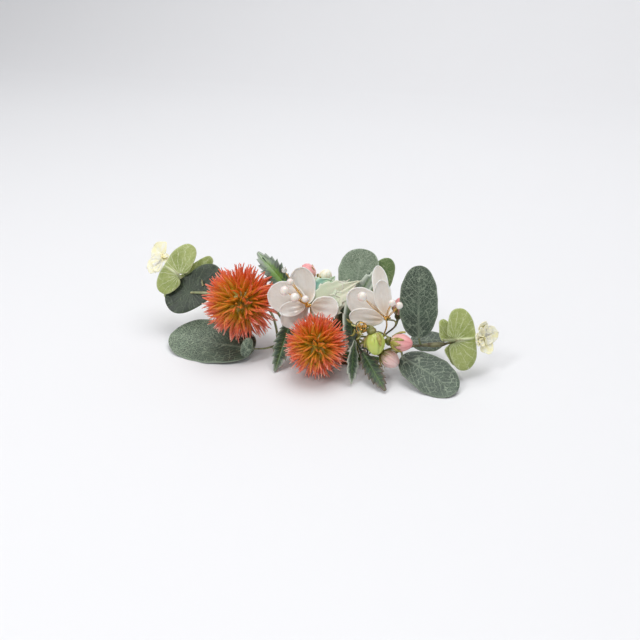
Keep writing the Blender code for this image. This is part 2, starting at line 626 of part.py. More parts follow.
def make_buds():
    back = [((-10, 13, 46), (-14.5, 12, 56), 5.0, "pink_bud", "bud_back_pink"),
            ((-3, 15, 44), (1, 14, 53), 4.4, "cream_bud", "bud_back_cream")]
    rear = [((49, 9, 32), (50, 9, 43), 4.2, "pink_bud", "bud_rear_pink")]
    front = [((39, -18, 30), (44, -21, 18), 5.6, "green_bud", "bud_green"),
             ((50, -13, 24), (63, -14, 25), 5.3, "pink_bud", "bud_front_pink"),
             ((45, -13, 14.2), (55.5, -16.5, 10.3), 5.3, "pink_bud", "bud_front_pale")]
    groups = [
        ("back_bud_twig", back, [[on_spine(-14, -40, TWIG_RADIUS), (-10, 8, 20), (-8, 13, 36)],
                                 [on_spine(-14, -40, TWIG_RADIUS), (-10, 8, 20), (-4, 15, 34)]]),
        ("rear_bud_twig", rear, [[on_spine(34, -60, TWIG_RADIUS), (40, 9, 14), (47, 9, 22)]]),
        ("front_bud_twig", front, [[on_spine(28, 10, TWIG_RADIUS), (27, -8, 20), (33, -14, 31.5)],
                                   [on_spine(28, 10, TWIG_RADIUS), (27, -8, 20), (38, -10, 23)],
                                   [on_spine(28, 10, TWIG_RADIUS), (27, -8, 19), (34, -10, 18)]]),
    ]
    for twig, buds, paths in groups:
        meshes = []
        for (foot, tip, radius, material, name), path in zip(buds, paths):
            bud(name, foot, tip, radius, material)
            meshes.append(calyx_twig(f"{twig}_{name}", path, foot, tip, radius))
        joined(twig, meshes, "plastic_stem")


def make_rose_leaves():
    """Toothed leaves, each on a stalk from the taped spine."""
    leaves = [
        ("rose_leaf_back_left", (-20, -1, 43), (-49, 18.5, 58), (-0.06, -0.7, 0.71), 16,
         [on_spine(-20, -20, STALK_RADIUS), (-20, 1, 20), (-19, 1, 36)]),
        ("rose_leaf_hanging", (-16, -9.5, 28), (-19, -33, 1.2), (0.35, -0.75, 0.55), 13,
         [on_spine(-16, 20, STALK_RADIUS), (-15, -4, 13), (-14.5, -7, 22)]),
        ("rose_leaf_front_a", (28.5, -20, 26), (31, -32.5, 1.5), (0.93, -0.34, 0.17), 12,
         [on_spine(30, 65, STALK_RADIUS), (30, -10.5, 12), (29.5, -16, 20)]),
        ("rose_leaf_front_b", (31.5, -15.5, 16.5), (52, -34, 2.2), (0.24, -0.7, 0.66), 12,
         [on_spine(34, 60, STALK_RADIUS), (34, -7.5, 12), (31, -13, 16)]),
        ("rose_leaf_back_right", (19, 8, 41), (33, 19, 56), (0.11, -0.63, 0.77), 15,
         [on_spine(16, -20, STALK_RADIUS), (16, 2, 20), (17, 6, 34)]),
        ("rose_leaf_middle", (23.5, -3, 42), (17.5, -9.5, 27.5), (0.0, -0.87, 0.5), 12,
         [on_spine(24, 0, STALK_RADIUS), (25, -2, 20), (26, -1.5, 36)]),
    ]
    for name, base, tip, face, width, stalk in leaves:
        leaf = sheet(name, base, tip, face, toothed(width), "rose_leaf", LEAF_THICKNESS, bend=-0.8, cup=-1.2,
                     rows=14, columns=4)
        way = (Vector(tip) - Vector(base)).normalized()
        path = stalk + [Vector(base) + way * 0.5, Vector(base) + way * 3.0]
        other = link(name + "_stalk", tube_mesh(name + "_stalk", path, STALK_RADIUS, steps=3, sides=1),
                     "rose_leaf", TOOLS)
        union = leaf.modifiers.new("stalk", "BOOLEAN")
        union.operation = "UNION"
        union.solver = "EXACT"
        union.object = other


make_comb()
make_lashing()
make_spine()
make_left_sprig()
make_right_sprig()
make_back_sprig()
make_balls()
make_left_flower()
make_right_flower()
make_buds()
make_rose_leaves()
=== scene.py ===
import math

import bpy
import numpy as np
from mathutils import Matrix, Vector


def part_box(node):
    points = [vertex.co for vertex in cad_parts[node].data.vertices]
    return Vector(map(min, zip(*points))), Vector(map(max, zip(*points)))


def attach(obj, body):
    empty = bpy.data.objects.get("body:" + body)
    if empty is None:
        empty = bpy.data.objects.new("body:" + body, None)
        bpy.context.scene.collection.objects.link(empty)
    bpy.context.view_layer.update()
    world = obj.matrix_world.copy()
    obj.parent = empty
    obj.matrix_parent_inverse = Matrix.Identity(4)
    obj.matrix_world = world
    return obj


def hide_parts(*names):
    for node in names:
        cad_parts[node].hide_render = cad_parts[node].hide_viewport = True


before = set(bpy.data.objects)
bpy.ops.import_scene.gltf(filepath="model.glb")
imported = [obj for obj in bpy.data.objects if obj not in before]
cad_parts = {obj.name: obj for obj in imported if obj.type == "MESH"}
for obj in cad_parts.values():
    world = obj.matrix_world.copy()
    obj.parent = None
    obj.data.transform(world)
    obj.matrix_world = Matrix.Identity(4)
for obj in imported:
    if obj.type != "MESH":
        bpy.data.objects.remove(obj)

MM = 0.001
VIEWER = np.array([0.0, -1.0, 0.6])
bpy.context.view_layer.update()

LEAF_THICK = 0.45
PETAL_THICK = 0.7
SILK_THICK = 0.3


# ---------------------------------------------------------------- shapes, in millimetres

def unit(vectors):
    vectors = np.asarray(vectors, float)
    return vectors / np.maximum(np.linalg.norm(vectors, axis=-1, keepdims=True), 1e-9)


def corners_of(node):
    """The corner points of a CAD node, each once."""
    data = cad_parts[node].data
    points = np.empty(len(data.vertices) * 3, np.float32)
    data.vertices.foreach_get("co", points)
    return np.unique(np.round(points.reshape(-1, 3).astype(float) / MM, 3), axis=0)


def middle_of(node):
    low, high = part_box(node)
    return np.array((low + high) / 2) / MM


def densest_point(points, reach):
    """The centre of the tightest cluster, such as a bead on a wire."""
    near = (np.linalg.norm(points[:, None] - points[None], axis=2) < reach).sum(1)
    place = points[near.argmax()]
    for _ in range(6):
        place = points[np.linalg.norm(points - place, axis=1) < reach].mean(0)
    return place


def nearest(points, place):
    return points[np.linalg.norm(points - place, axis=1).argmin()]


def smooth_line(points, count):
    """Evenly spaced points on a Catmull-Rom curve through the given ones."""
    knots = np.asarray(points, float)
    knots = np.vstack([2 * knots[0] - knots[1], knots, 2 * knots[-1] - knots[-2]])
    line = []
    for i in range(1, len(knots) - 2):
        a, b, c, d = knots[i - 1 : i + 3]
        for t in np.arange(0, 1, 0.05):
            line.append(0.5 * (2 * b + (c - a) * t + (2 * a - 5 * b + 4 * c - d) * t**2
                               + (3 * b - a - 3 * c + d) * t**3))
    line = np.array(line + [knots[-2]])
    walked = np.concatenate([[0], np.cumsum(np.linalg.norm(np.diff(line, axis=0), axis=1))])
    wanted = np.linspace(0, walked[-1], count)
    return np.stack([np.interp(wanted, walked, line[:, k]) for k in range(3)], axis=1)


def capped_rings(rings, sides):
    """Faces round a run of rings of points, closed by the two points that follow them."""
    faces = []
    for i in range(rings - 1):
        for j in range(sides):
            k = (j + 1) % sides
            faces.append((i * sides + j, i * sides + k, (i + 1) * sides + k, (i + 1) * sides + j))
    last = rings * sides
    for j in range(sides):
        k = (j + 1) % sides
        faces.append((last, k, j))
        faces.append((last + 1, last - sides + j, last - sides + k))
    return faces


def tube(line, radius, sides=8):
    """Points and faces of a closed round wire whose radius may change along the line."""
    line = np.asarray(line, float)
    radius = np.broadcast_to(radius, len(line))
    way = unit(np.gradient(line, axis=0))
    side = unit(np.cross(way[0], [0.31, 0.52, 0.79]))
    points, turn = [], np.arange(sides) * 2 * math.pi / sides
    for i in range(len(line)):
        side = unit(side - way[i] * (side @ way[i]))
        other = np.cross(way[i], side)
        points.append(line[i] + radius[i] * (np.cos(turn)[:, None] * side + np.sin(turn)[:, None] * other))
    return np.vstack(points + [line[0], line[-1]]), capped_rings(len(line), sides)


def turned(profile, base, axis, segments=64, ripple=None):
    """Points and faces of a closed turned shape. profile lists (radius, height); ripple scales the radius."""
    base, axis = np.asarray(base, float), unit(axis)
    side = unit(np.cross(axis, [0.2, 0.5, 0.84]))
    other = np.cross(axis, side)
    turn = np.arange(segments) * 2 * math.pi / segments
    points = []
    for i, (r, h) in enumerate(profile):
        share = i / (len(profile) - 1)
        reach = r * (ripple(turn, share) if ripple else np.ones(segments))
        points.append(base + axis * h
                      + reach[:, None] * (np.cos(turn)[:, None] * side + np.sin(turn)[:, None] * other))
    ends = [base + axis * profile[0][1], base + axis * profile[-1][1]]
    return np.vstack(points + ends), capped_rings(len(profile), segments)


def grid_quads(rows, columns, ring=False):
    """Faces over a grid of points, turned to face along side x along. ring closes the first direction."""
    i, j = np.meshgrid(np.arange(rows if ring else rows - 1), np.arange(columns - 1), indexing="ij")
    here, after = (i * columns + j).ravel(), (((i + 1) % rows) * columns + j).ravel()
    return np.stack([here, here + 1, after + 1, after], axis=1)


def normals_of(points, quads):
    normal = np.cross(points[quads[:, 2]] - points[quads[:, 0]], points[quads[:, 3]] - points[quads[:, 1]])
    total = np.zeros_like(points)
    for k in range(4):
        np.add.at(total, quads[:, k], normal)
    return unit(total)


def shell(points, quads, thickness, rim=0.8):
    """A thin closed sheet with a rounded rim over a middle surface: points, faces, each point's source."""
    count = len(points)
    normals = normals_of(points, quads)
    half = np.broadcast_to(np.asarray(thickness, float) / 2, count)[:, None]
    directed = np.concatenate([quads[:, [k, (k + 1) % 4]] for k in range(4)])
    forward, backward = directed @ [count, 1], directed @ [1, count]
    edge = directed[~np.isin(forward, backward)]
    push = np.cross(unit(points[edge[:, 1]] - points[edge[:, 0]]), normals[edge[:, 0]])
    outward = np.zeros_like(points)
    np.add.at(outward, edge[:, 0], push)
    np.add.at(outward, edge[:, 1], push)
    rims = np.unique(edge)
    place = np.full(count, -1)
    place[rims] = 2 * count + np.arange(len(rims))
    mids = points[rims] + unit(outward[rims]) * half[rims] * rim
    whole = np.vstack([points + normals * half, points - normals * half, mids])
    a, b = edge[:, 0], edge[:, 1]
    upper = np.stack([b, a, place[a], place[b]], axis=1)
    lower = np.stack([place[b], place[a], a + count, b + count], axis=1)
    faces = np.vstack([quads, quads[:, ::-1] + count, upper, lower])
    return whole, faces, np.concatenate([np.arange(count), np.arange(count), rims])


def gathered(parts):
    """Several (points, faces, marks) made one. Missing marks are nought."""
    names = sorted({name for part in parts for name in part[2]})
    points, faces, marks, start = [], [], {name: [] for name in names}, 0
    for place, polygons, values in parts:
        points.append(place)
        faces += [tuple(int(v) + start for v in polygon) for polygon in polygons]
        for name in names:
            value = values.get(name, 0.0)
            marks[name].append(np.broadcast_to(value, len(place)) if np.ndim(value) < 2 else value)
        start += len(place)
    return np.vstack(points), faces, {name: np.concatenate(values) for name, values in marks.items()}


def piece(name, points, faces, finish, nodes=(), marks=None, uv=None):
    """A finished object at the origin, riding on the spray."""
    mesh = bpy.data.meshes.new(name)
    mesh.from_pydata((np.asarray(points) * MM).tolist(), [], [tuple(int(v) for v in face) for face in faces])
    if uv is not None:
        corner = np.empty(len(mesh.loops), np.int32)
        mesh.loops.foreach_get("vertex_index", corner)
        flat = np.asarray(uv)[corner].ravel().astype(np.float32)
        mesh.uv_layers.new(name="flat").data.foreach_set("uv", flat)
    for key, value in (marks or {}).items():
        mesh.attributes.new(key, "FLOAT", "POINT").data.foreach_set(
            "value", np.broadcast_to(value, len(points)).astype(np.float32))
    mesh.polygons.foreach_set("use_smooth", [True] * len(mesh.polygons))
    item = bpy.data.objects.new(name, mesh)
    bpy.context.scene.collection.objects.link(item)
    mesh.materials.append(finish)
    return ridden(item, nodes)


def ridden(item, nodes=()):
    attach(item, "root")
    if nodes:
        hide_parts(*nodes)
    return item


class Blade:
    """A thin CAD leaf or petal read back as a flat outline on a curved surface."""

    PLAIN = np.array([1, 1, 1] + [0] * 2 + [1, 1] + [0] * 7)

    def __init__(self, node, hub, fork=False, points=None):
        points = corners_of(node) if points is None else points
        self.middle = points.mean(0)
        axes = np.linalg.svd(points - self.middle, full_matrices=False)[2]
        self.face = axes[2] * (1 if axes[2] @ VIEWER > 0 else -1)
        towards = np.asarray(hub) - self.middle
        if fork:
            self.side = axes[1] * (-1 if towards @ axes[1] > 0 else 1)
            self.along = np.cross(self.face, self.side)
        else:
            self.along = axes[0] * (-1 if towards @ axes[0] > 0 else 1)
            self.side = np.cross(self.along, self.face)
        offset = points - self.middle
        a, b, h = offset @ self.along, offset @ self.side, offset @ self.face
        self.start, self.length = a.min(), np.ptp(a)
        self.centre, self.width = (b.min() + b.max()) / 2, np.ptp(b)
        s, t = (a - self.start) / self.length - 0.5, (b - self.centre) / self.width
        self.fit = np.linalg.lstsq(self.terms(s, t), h, rcond=2e-3)[0]
        if np.abs(self.fit).max() > 12:
            self.fit = np.linalg.lstsq(self.terms(s, t) * self.PLAIN, h, rcond=2e-3)[0]

    @staticmethod
    def terms(s, t):
        s, t = np.asarray(s), np.asarray(t)
        return np.stack([s**k for k in range(5)] + [t * s**k for k in range(6)]
                        + [t * t * s**k for k in range(3)], -1)

    def at(self, u, y, rise=0.0):
        """The place at the share u of the length and y beside the middle line, rise over the surface."""
        u, y = np.broadcast_arrays(np.asarray(u, float), np.asarray(y, float))
        h = self.terms(u - 0.5, y / self.width) @ self.fit + rise
        a, b = self.start + self.length * u, self.centre + y
        return self.middle + a[..., None] * self.along + b[..., None] * self.side + h[..., None] * self.face


def skewed(u, fullest):
    """Shares moved so that the half way point falls at fullest."""
    return np.where(u < fullest, 0.5 * u / fullest, 0.5 + 0.5 * (u - fullest) / (1 - fullest))


def oval(u, fullest=0.5, power=2.2, stalk=0.03):
    """Half the width of an oval leaf along its length."""
    return 0.5 * np.maximum(stalk, (1 - np.abs(2 * skewed(u, fullest) - 1) ** power) ** (1 / power))


def lobes(u, notch, dent=0.06, place=0.5, spread=0.055):
    """The two edges of a pair of leaves with a slit on one side and a shallow dent on the other."""
    half = 0.5 * np.maximum(0.05, (1 - np.abs(2 * u - 1) ** 2.4) ** (1 / 2.4))
    slit = np.exp(-(((u - place) / spread) ** 2))
    shallow = np.exp(-(((u - place) / 0.16) ** 2))
    return -half + notch * slit, half - dent * shallow


def eased(count, extra=()):
    """Shares from 0 to 1, closer together at both ends and round any extra share."""
    shares = 0.5 - 0.5 * np.cos(np.pi * np.linspace(0, 1, count))
    for place, spread, more in extra:
        shares = np.concatenate([shares, place + spread * np.linspace(-1, 1, more)])
    shares = np.unique(np.round(shares, 5))
    return shares[np.concatenate([[True], np.diff(shares) > 2e-3])] if extra else shares


# ---------------------------------------------------------------- finishes

class Finish:
    """A procedural material under construction. Each method adds a node and gives its output."""

    def __init__(self, name, **sockets):
        self.material = bpy.data.materials.new(name)
        self.material.use_nodes = True
        self.tree = self.material.node_tree
        self.shader = self.tree.nodes["Principled BSDF"]
        for key, value in sockets.items():
            self.shader.inputs[key.replace("_", " ")].default_value = value
        self.place = self.node("ShaderNodeTexCoord").outputs["Object"]

    def node(self, kind, **settings):
        made = self.tree.nodes.new(kind)
        for key, value in settings.items():
            setattr(made, key, value)
        return made

    def feed(self, socket, value):
        if isinstance(value, bpy.types.NodeSocket):
            self.tree.links.new(value, socket)
        elif isinstance(value, (tuple, list)) and len(value) == 3 and len(socket.default_value) == 4:
            socket.default_value = (*value, 1.0)
        else:
            socket.default_value = value

    def out(self, key, value):
        self.feed(self.shader.inputs[key], value)
        return self

    def flat(self):
        split = self.node("ShaderNodeSeparateXYZ")
        uv = self.node("ShaderNodeUVMap", uv_map="flat").outputs["UV"]
        self.feed(split.inputs[0], uv)
        return uv, split.outputs["X"], split.outputs["Y"]

    def mark(self, name):
        return self.node("ShaderNodeAttribute", attribute_name=name).outputs["Fac"]

    def math(self, operation, first, second=0.0, clamp=False):
        made = self.node("ShaderNodeMath", operation=operation, use_clamp=clamp)
        self.feed(made.inputs[0], first)
        self.feed(made.inputs[1], second)
        return made.outputs[0]

    def plus(self, first, second, clamp=False):
        return self.math("ADD", first, second, clamp)

    def minus(self, first, second):
        return self.math("SUBTRACT", first, second)

    def times(self, first, second, clamp=False):
        return self.math("MULTIPLY", first, second, clamp)

    def noise(self, scale, detail=3.0, vector=None, roughness=0.55):
        made = self.node("ShaderNodeTexNoise")
        self.feed(made.inputs["Vector"], self.place if vector is None else vector)
        made.inputs["Scale"].default_value = scale
        made.inputs["Detail"].default_value = detail
        made.inputs["Roughness"].default_value = roughness
        return made.outputs["Fac"]

    def cells(self, scale, vector=None, feature="DISTANCE_TO_EDGE"):
        made = self.node("ShaderNodeTexVoronoi", feature=feature)
        self.feed(made.inputs["Vector"], self.place if vector is None else vector)
        made.inputs["Scale"].default_value = scale
        return made.outputs["Distance"]

    def span(self, value, low, high, first=0.0, last=1.0, kind="SMOOTHSTEP"):
        made = self.node("ShaderNodeMapRange", interpolation_type=kind)
        for socket, entry in zip(range(5), (value, low, high, first, last)):
            self.feed(made.inputs[socket], entry)
        return made.outputs[0]

    def varied(self, scale, detail, low, high):
        """Noise spread evenly between two values."""
        return self.span(self.noise(scale, detail), 0.3, 0.7, low, high, "LINEAR")

    def patches(self, scale, detail, low, high):
        """Soft-edged patches: noise under low is nought, over high is one."""
        return self.span(self.noise(scale, detail), low, high)

    def mix(self, share, first, second):
        made = self.node("ShaderNodeMix", data_type="RGBA")
        self.feed(made.inputs[0], share)
        self.feed(made.inputs[6], first)
        self.feed(made.inputs[7], second)
        return made.outputs[2]

    def ramp(self, value, stops):
        made = self.node("ShaderNodeValToRGB")
        points = made.color_ramp.elements
        while len(points) < len(stops):
            points.new(0.5)
        for point, (place, colour) in zip(points, stops):
            point.position = place
            point.color = (*colour, 1.0)
        self.feed(made.inputs[0], value)
        return made.outputs[0]

    def bump(self, height, distance, strength=0.5):
        made = self.node("ShaderNodeBump")
        made.inputs["Strength"].default_value = strength
        made.inputs["Distance"].default_value = distance
        self.feed(made.inputs["Height"], height)
        return self.out("Normal", made.outputs[0])


def rgb(red, green, blue):
    """A colour given as it is seen on a screen, 0 to 255."""
    return tuple((v / 255 / 12.92) if v < 10 else ((v / 255 + 0.055) / 1.055) ** 2.4 for v in (red, green, blue))


def eucalyptus(name, deep, body, dust_and_light_colour, vein, forked, weights=(0.45, 0.75, 0.4), roughness=0.5):
    """A printed cloth leaf: mottled body, powdery speckles, pale veins with a net between them. The speckle
    amount also paints light and shade along the leaf.
    """
    side_veins, netting, midrib = weights
    m = Finish(name, Coat_Weight=0.08, Coat_Roughness=0.35, Sheen_Weight=0.05, Sheen_Roughness=0.5)
    uv, x, y = m.flat()
    wander = m.times(m.minus(m.noise(260, 3), 0.5), 0.5)
    if forked:
        angle = m.plus(m.math("ARCTAN2", x, m.plus(y, 0.12)), m.times(wander, 0.5))
        phase = m.math("PINGPONG", m.plus(angle, 6.0), 0.16)
        reach = m.math("SQRT", m.plus(m.times(x, x), m.times(y, y)))
        width = m.math("DIVIDE", 0.034, m.math("MAXIMUM", reach, 0.3))
        branch = m.span(phase, 0.0, m.times(width, 1.0), 1.0, 0.0)
    else:
        across = m.math("ABSOLUTE", y)
        bent = m.plus(m.times(across, 0.75), m.times(m.times(across, across), 0.45))
        phase = m.math("PINGPONG", m.plus(m.minus(x, bent), m.plus(wander, 20.0)), 0.19)
        branch = m.span(phase, 0.0, 0.036, 1.0, 0.0)
    warped = m.node("ShaderNodeVectorMath", operation="ADD")
    m.feed(warped.inputs[0], uv)
    soft = m.node("ShaderNodeTexNoise")
    m.feed(soft.inputs["Vector"], m.place)
    soft.inputs["Scale"].default_value = 420
    scaled = m.node("ShaderNodeVectorMath", operation="SCALE")
    m.feed(scaled.inputs[0], soft.outputs["Color"])
    scaled.inputs["Scale"].default_value = 0.16
    m.feed(warped.inputs[1], scaled.outputs[0])
    net = m.span(m.cells(2.3, warped.outputs[0]), 0.008, 0.05, 1.0, 0.0)
    net = m.times(net, m.patches(230, 2, 0.38, 0.6))
    branch = m.times(branch, m.span(m.noise(240, 2), 0.36, 0.56, 0.25, 1.0))
    fine = m.span(m.cells(7.0, warped.outputs[0]), 0.02, 0.14, 1.0, 0.0)
    speckle = m.span(m.noise(1350, 2, roughness=0.7), 0.48, 0.6)
    # painted light and shade: the per-leaf pale speckle amount rises or falls along the leaf where light or
    # shadow falls on it, on top of its real powdery bloom
    dust_and_light = m.mark("dust_and_light")
    base = m.mix(m.patches(90, 4, 0.35, 0.65), deep, body)
    dust_and_light_share = m.times(m.plus(m.times(speckle, 0.42), m.times(fine, 0.32)), dust_and_light, True)
    base = m.mix(dust_and_light_share, base, dust_and_light_colour)
    lines = m.math("MAXIMUM", m.times(branch, side_veins), m.times(net, netting))
    lines = m.math("MAXIMUM", lines, m.times(m.mark("rib"), midrib))
    lines = m.times(lines, m.span(m.mark("rim"), 0.2, 0.7, 1.0, 0.15))
    base = m.mix(lines, base, vein)
    base = m.mix(m.times(m.mark("rim"), 0.35), base, vein)
    m.out("Base Color", base)
    m.out("Roughness", m.span(m.noise(900, 2), 0.3, 0.7, roughness - 0.08, roughness + 0.1, "LINEAR"))
    height = m.plus(m.times(lines, 0.6), m.times(m.noise(3000, 2), 0.5))
    return m.bump(height, 0.00018, 0.55).material


def rose_finish():
    """Dark toothed leaf, bright along its middle, with pale printed teeth."""
    m = Finish("rose_leaf", Coat_Weight=0.15, Coat_Roughness=0.3, Sheen_Weight=0.08)
    _, x, y = m.flat()
    across = m.math("ABSOLUTE", y)
    wander = m.times(m.minus(m.noise(400, 3), 0.5), 0.3)
    phase = m.math("PINGPONG", m.plus(m.minus(x, m.times(across, 0.8)), m.plus(wander, 20.0)), 0.14)
    branch = m.span(phase, 0.0, 0.03, 1.0, 0.0)
    inner = m.span(m.plus(m.mark("out"), m.times(wander, 0.8)), 0.12, 0.62, 1.0, 0.0)
    base = m.mix(m.patches(300, 3, 0.35, 0.65), rgb(26, 44, 28), rgb(44, 74, 48))
    base = m.mix(m.times(inner, m.mark("bright")), base, rgb(92, 134, 34))
    base = m.mix(m.times(m.math("MAXIMUM", branch, m.mark("rib")), 0.4), base, rgb(150, 180, 110))
    edge = m.times(m.mark("rim"), m.mark("pale"), True)
    base = m.mix(edge, base, rgb(206, 216, 200))
    # painted highlight: pale streaky patches over the outer half of the leaf stand for light glancing off it
    base = m.mix(m.mark("frosted"), base, rgb(198, 208, 194))
    base = m.mix(m.times(m.mark("rim"), m.mark("brown"), True), base, rgb(122, 84, 72))
    m.out("Base Color", base).out("Roughness", m.varied(900, 3, 0.42, 0.6))
    return m.bump(m.plus(branch, m.times(m.noise(2500, 2), 0.6)), 0.00016, 0.6).material


def cream_finish():
    """Young translucent leaflets."""
    m = Finish("cream_leaf", Subsurface_Weight=0.6, Subsurface_Scale=0.0005, Roughness=0.5, Sheen_Weight=0.1)
    m.shader.inputs["Subsurface Radius"].default_value = (1.0, 0.95, 0.75)
    y = m.flat()[2]
    rays = m.span(m.math("PINGPONG", m.plus(m.math("ABSOLUTE", y), 5.0), 0.05), 0.0, 0.02, 1.0, 0.0)
    base = m.mix(m.patches(350, 3, 0.35, 0.65), rgb(255, 244, 206), rgb(255, 250, 232))
    base = m.mix(m.times(m.mark("heart"), 0.55), base, rgb(222, 216, 140))
    base = m.mix(m.times(rays, 0.18), base, rgb(214, 206, 140))
    m.out("Base Color", base)
    return m.bump(m.plus(rays, m.noise(1500, 2)), 0.0001, 0.4).material


def spike_finish():
    """Soft plastic spikes: olive at the root, orange, then coral with pink ends."""
    m = Finish("ball_spikes", Subsurface_Weight=0.3, Subsurface_Scale=0.0008, Coat_Weight=0.5,
               Coat_Roughness=0.28)
    m.shader.inputs["Subsurface Radius"].default_value = (1.0, 0.45, 0.25)
    tone, along = m.mark("tone"), m.mark("along")
    ripe = m.minus(1.0, m.times(m.mark("young"), 0.42))
    shifted = m.plus(m.times(along, ripe), m.times(m.minus(tone, 0.5), 0.26), True)
    warm = m.ramp(shifted, [(0.0, rgb(178, 156, 26)), (0.32, rgb(216, 158, 38)), (0.54, rgb(236, 130, 44)),
                            (0.78, rgb(232, 100, 58)), (1.0, rgb(240, 124, 92))])
    pink = m.ramp(shifted, [(0.0, rgb(184, 170, 40)), (0.34, rgb(224, 178, 64)), (0.56, rgb(242, 148, 84)),
                            (0.82, rgb(238, 112, 88)), (1.0, rgb(252, 190, 168))])
    base = m.mix(m.span(m.plus(m.mark("pinker"), m.times(tone, 0.4)), 0.4, 0.9), warm, pink)
    m.out("Base Color", base).out("Roughness", m.varied(1200, 2, 0.34, 0.5))
    return m.bump(m.noise(2400, 2), 0.0001, 0.35).material


def shell_finish():
    """Resin petal with a milky, matt, faintly pearly skin and a lighter rim. The lighter rim is a painted
    highlight along the thick edge.
    """
    m = Finish("shell_petal", Subsurface_Weight=0.6, Subsurface_Scale=0.0008, Coat_Weight=0.5, Coat_Roughness=0.2,
               Alpha=0.86)
    m.shader.inputs["Subsurface Radius"].default_value = (1.0, 0.9, 0.8)
    uv = m.flat()[0]
    streak = m.node("ShaderNodeTexNoise")
    stretch = m.node("ShaderNodeMapping")
    stretch.inputs["Scale"].default_value = (1.2, 9.0, 1.0)
    m.feed(stretch.inputs["Vector"], uv)
    m.feed(streak.inputs["Vector"], stretch.outputs[0])
    streak.inputs["Scale"].default_value = 2.2
    streak.inputs["Detail"].default_value = 4
    base = m.mix(m.patches(160, 4, 0.3, 0.7), rgb(236, 228, 220), rgb(244, 238, 232))
    base = m.mix(m.span(streak.outputs["Fac"], 0.4, 0.75, 0.0, 0.35), base, rgb(220, 208, 196))
    base = m.mix(m.span(m.mark("foot"), 0.45, 1.0, 0.0, 0.7), base, rgb(206, 178, 144))
    # painted highlight: the thick rim is lightened to stand for light catching the resin edge
    base = m.mix(m.times(m.mark("rim"), 0.85), base, rgb(255, 252, 246))
    m.out("Base Color", base)
    m.out("Roughness", m.varied(700, 3, 0.26, 0.42))
    return m.bump(m.plus(streak.outputs["Fac"], m.noise(900, 2)), 0.00015, 0.35).material


def pearl_finish():
    m = Finish("pearl", Coat_Weight=1.0, Coat_Roughness=0.06, Thin_Film_Thickness=420.0, Thin_Film_IOR=1.4,
               Subsurface_Weight=0.2, Subsurface_Scale=0.001, Sheen_Weight=0.2)
    base = m.mix(m.patches(220, 3, 0.35, 0.65), rgb(246, 238, 230), rgb(240, 226, 218))
    m.out("Base Color", base).out("Roughness", m.varied(900, 2, 0.18, 0.28))
    return m.bump(m.noise(1800, 3), 0.00005, 0.25).material


def bead_finish():
    """Clear seed bead with a silvery skin."""
    m = Finish("clear_bead", Transmission_Weight=0.6, IOR=1.5, Coat_Weight=0.8, Coat_Roughness=0.05)
    m.out("Base Color", m.mix(m.noise(500), rgb(232, 232, 228), rgb(250, 248, 240)))
    m.out("Roughness", m.varied(900, 3, 0.08, 0.2))
    return m.material


def gold_finish():
    m = Finish("gold_wire", Metallic=1.0)
    worn = m.patches(1500, 3, 0.35, 0.7)
    m.out("Base Color", m.mix(worn, rgb(240, 200, 122), rgb(206, 152, 70)))
    m.out("Roughness", m.varied(2200, 2, 0.16, 0.36))
    return m.bump(m.noise(3500, 2), 0.00008, 0.5).material


def silk_finish():
    """Dip-dyed cloth: near white, pale green, then turquoise, with a fine weave."""
    m = Finish("silk", Sheen_Weight=0.35, Sheen_Roughness=0.35, Subsurface_Weight=0.4, Subsurface_Scale=0.0005)
    m.shader.inputs["Subsurface Radius"].default_value = (0.8, 1.0, 0.9)
    dye = m.plus(m.mark("dye"), m.times(m.minus(m.noise(260, 4), 0.5), 0.28), True)
    base = m.ramp(dye, [(0.0, rgb(222, 218, 196)), (0.25, rgb(206, 216, 186)), (0.55, rgb(178, 206, 172)),
                        (0.85, rgb(140, 200, 182)), (1.0, rgb(112, 184, 170))])
    base = m.mix(m.times(m.mark("rim"), 0.4), base, rgb(248, 248, 238))
    weave = m.node("ShaderNodeTexWave", wave_type="BANDS", bands_direction="X")
    other = m.node("ShaderNodeTexWave", wave_type="BANDS", bands_direction="Z")
    for made in (weave, other):
        m.feed(made.inputs["Vector"], m.place)
        made.inputs["Scale"].default_value = 900
        made.inputs["Distortion"].default_value = 0.6
    threads = m.times(weave.outputs["Fac"], other.outputs["Fac"])
    m.out("Base Color", base).out("Roughness", m.span(threads, 0, 1, 0.5, 0.68, "LINEAR"))
    return m.bump(threads, 0.00008, 0.4).material


def bud_finish(name, foot, body, tip, crease, gloss):
    """Moulded bud: shaded folds, foot to tip colour."""
    m = Finish(name, Subsurface_Weight=0.25, Subsurface_Scale=0.0025, Coat_Weight=gloss, Coat_Roughness=0.2)
    m.shader.inputs["Subsurface Radius"].default_value = (1.0, 0.6, 0.5)
    high = m.plus(m.mark("high"), m.times(m.minus(m.noise(300, 3), 0.5), 0.2), True)
    base = m.ramp(high, [(0.0, foot), (0.4, body), (1.0, tip)])
    base = m.mix(m.times(m.mark("crease"), 0.6), base, crease)
    m.out("Base Color", base).out("Roughness", m.varied(800, 2, 0.38, 0.55))
    return m.bump(m.noise(1400, 3), 0.00012, 0.4).material


def stem_finish(name, first, second, third, gloss=0.2):
    """Moulded plastic stem with streaks of two greens and patches of brown."""
    m = Finish(name, Coat_Weight=gloss, Coat_Roughness=0.3, Subsurface_Weight=0.08, Subsurface_Scale=0.001)
    base = m.mix(m.patches(120, 4, 0.4, 0.6), first, second)
    base = m.mix(m.span(m.noise(420, 4), 0.52, 0.68, 0.0, 0.8), base, third)
    m.out("Base Color", base).out("Roughness", m.varied(900, 2, 0.38, 0.56))
    return m.bump(m.noise(1300, 4), 0.0002, 0.5).material


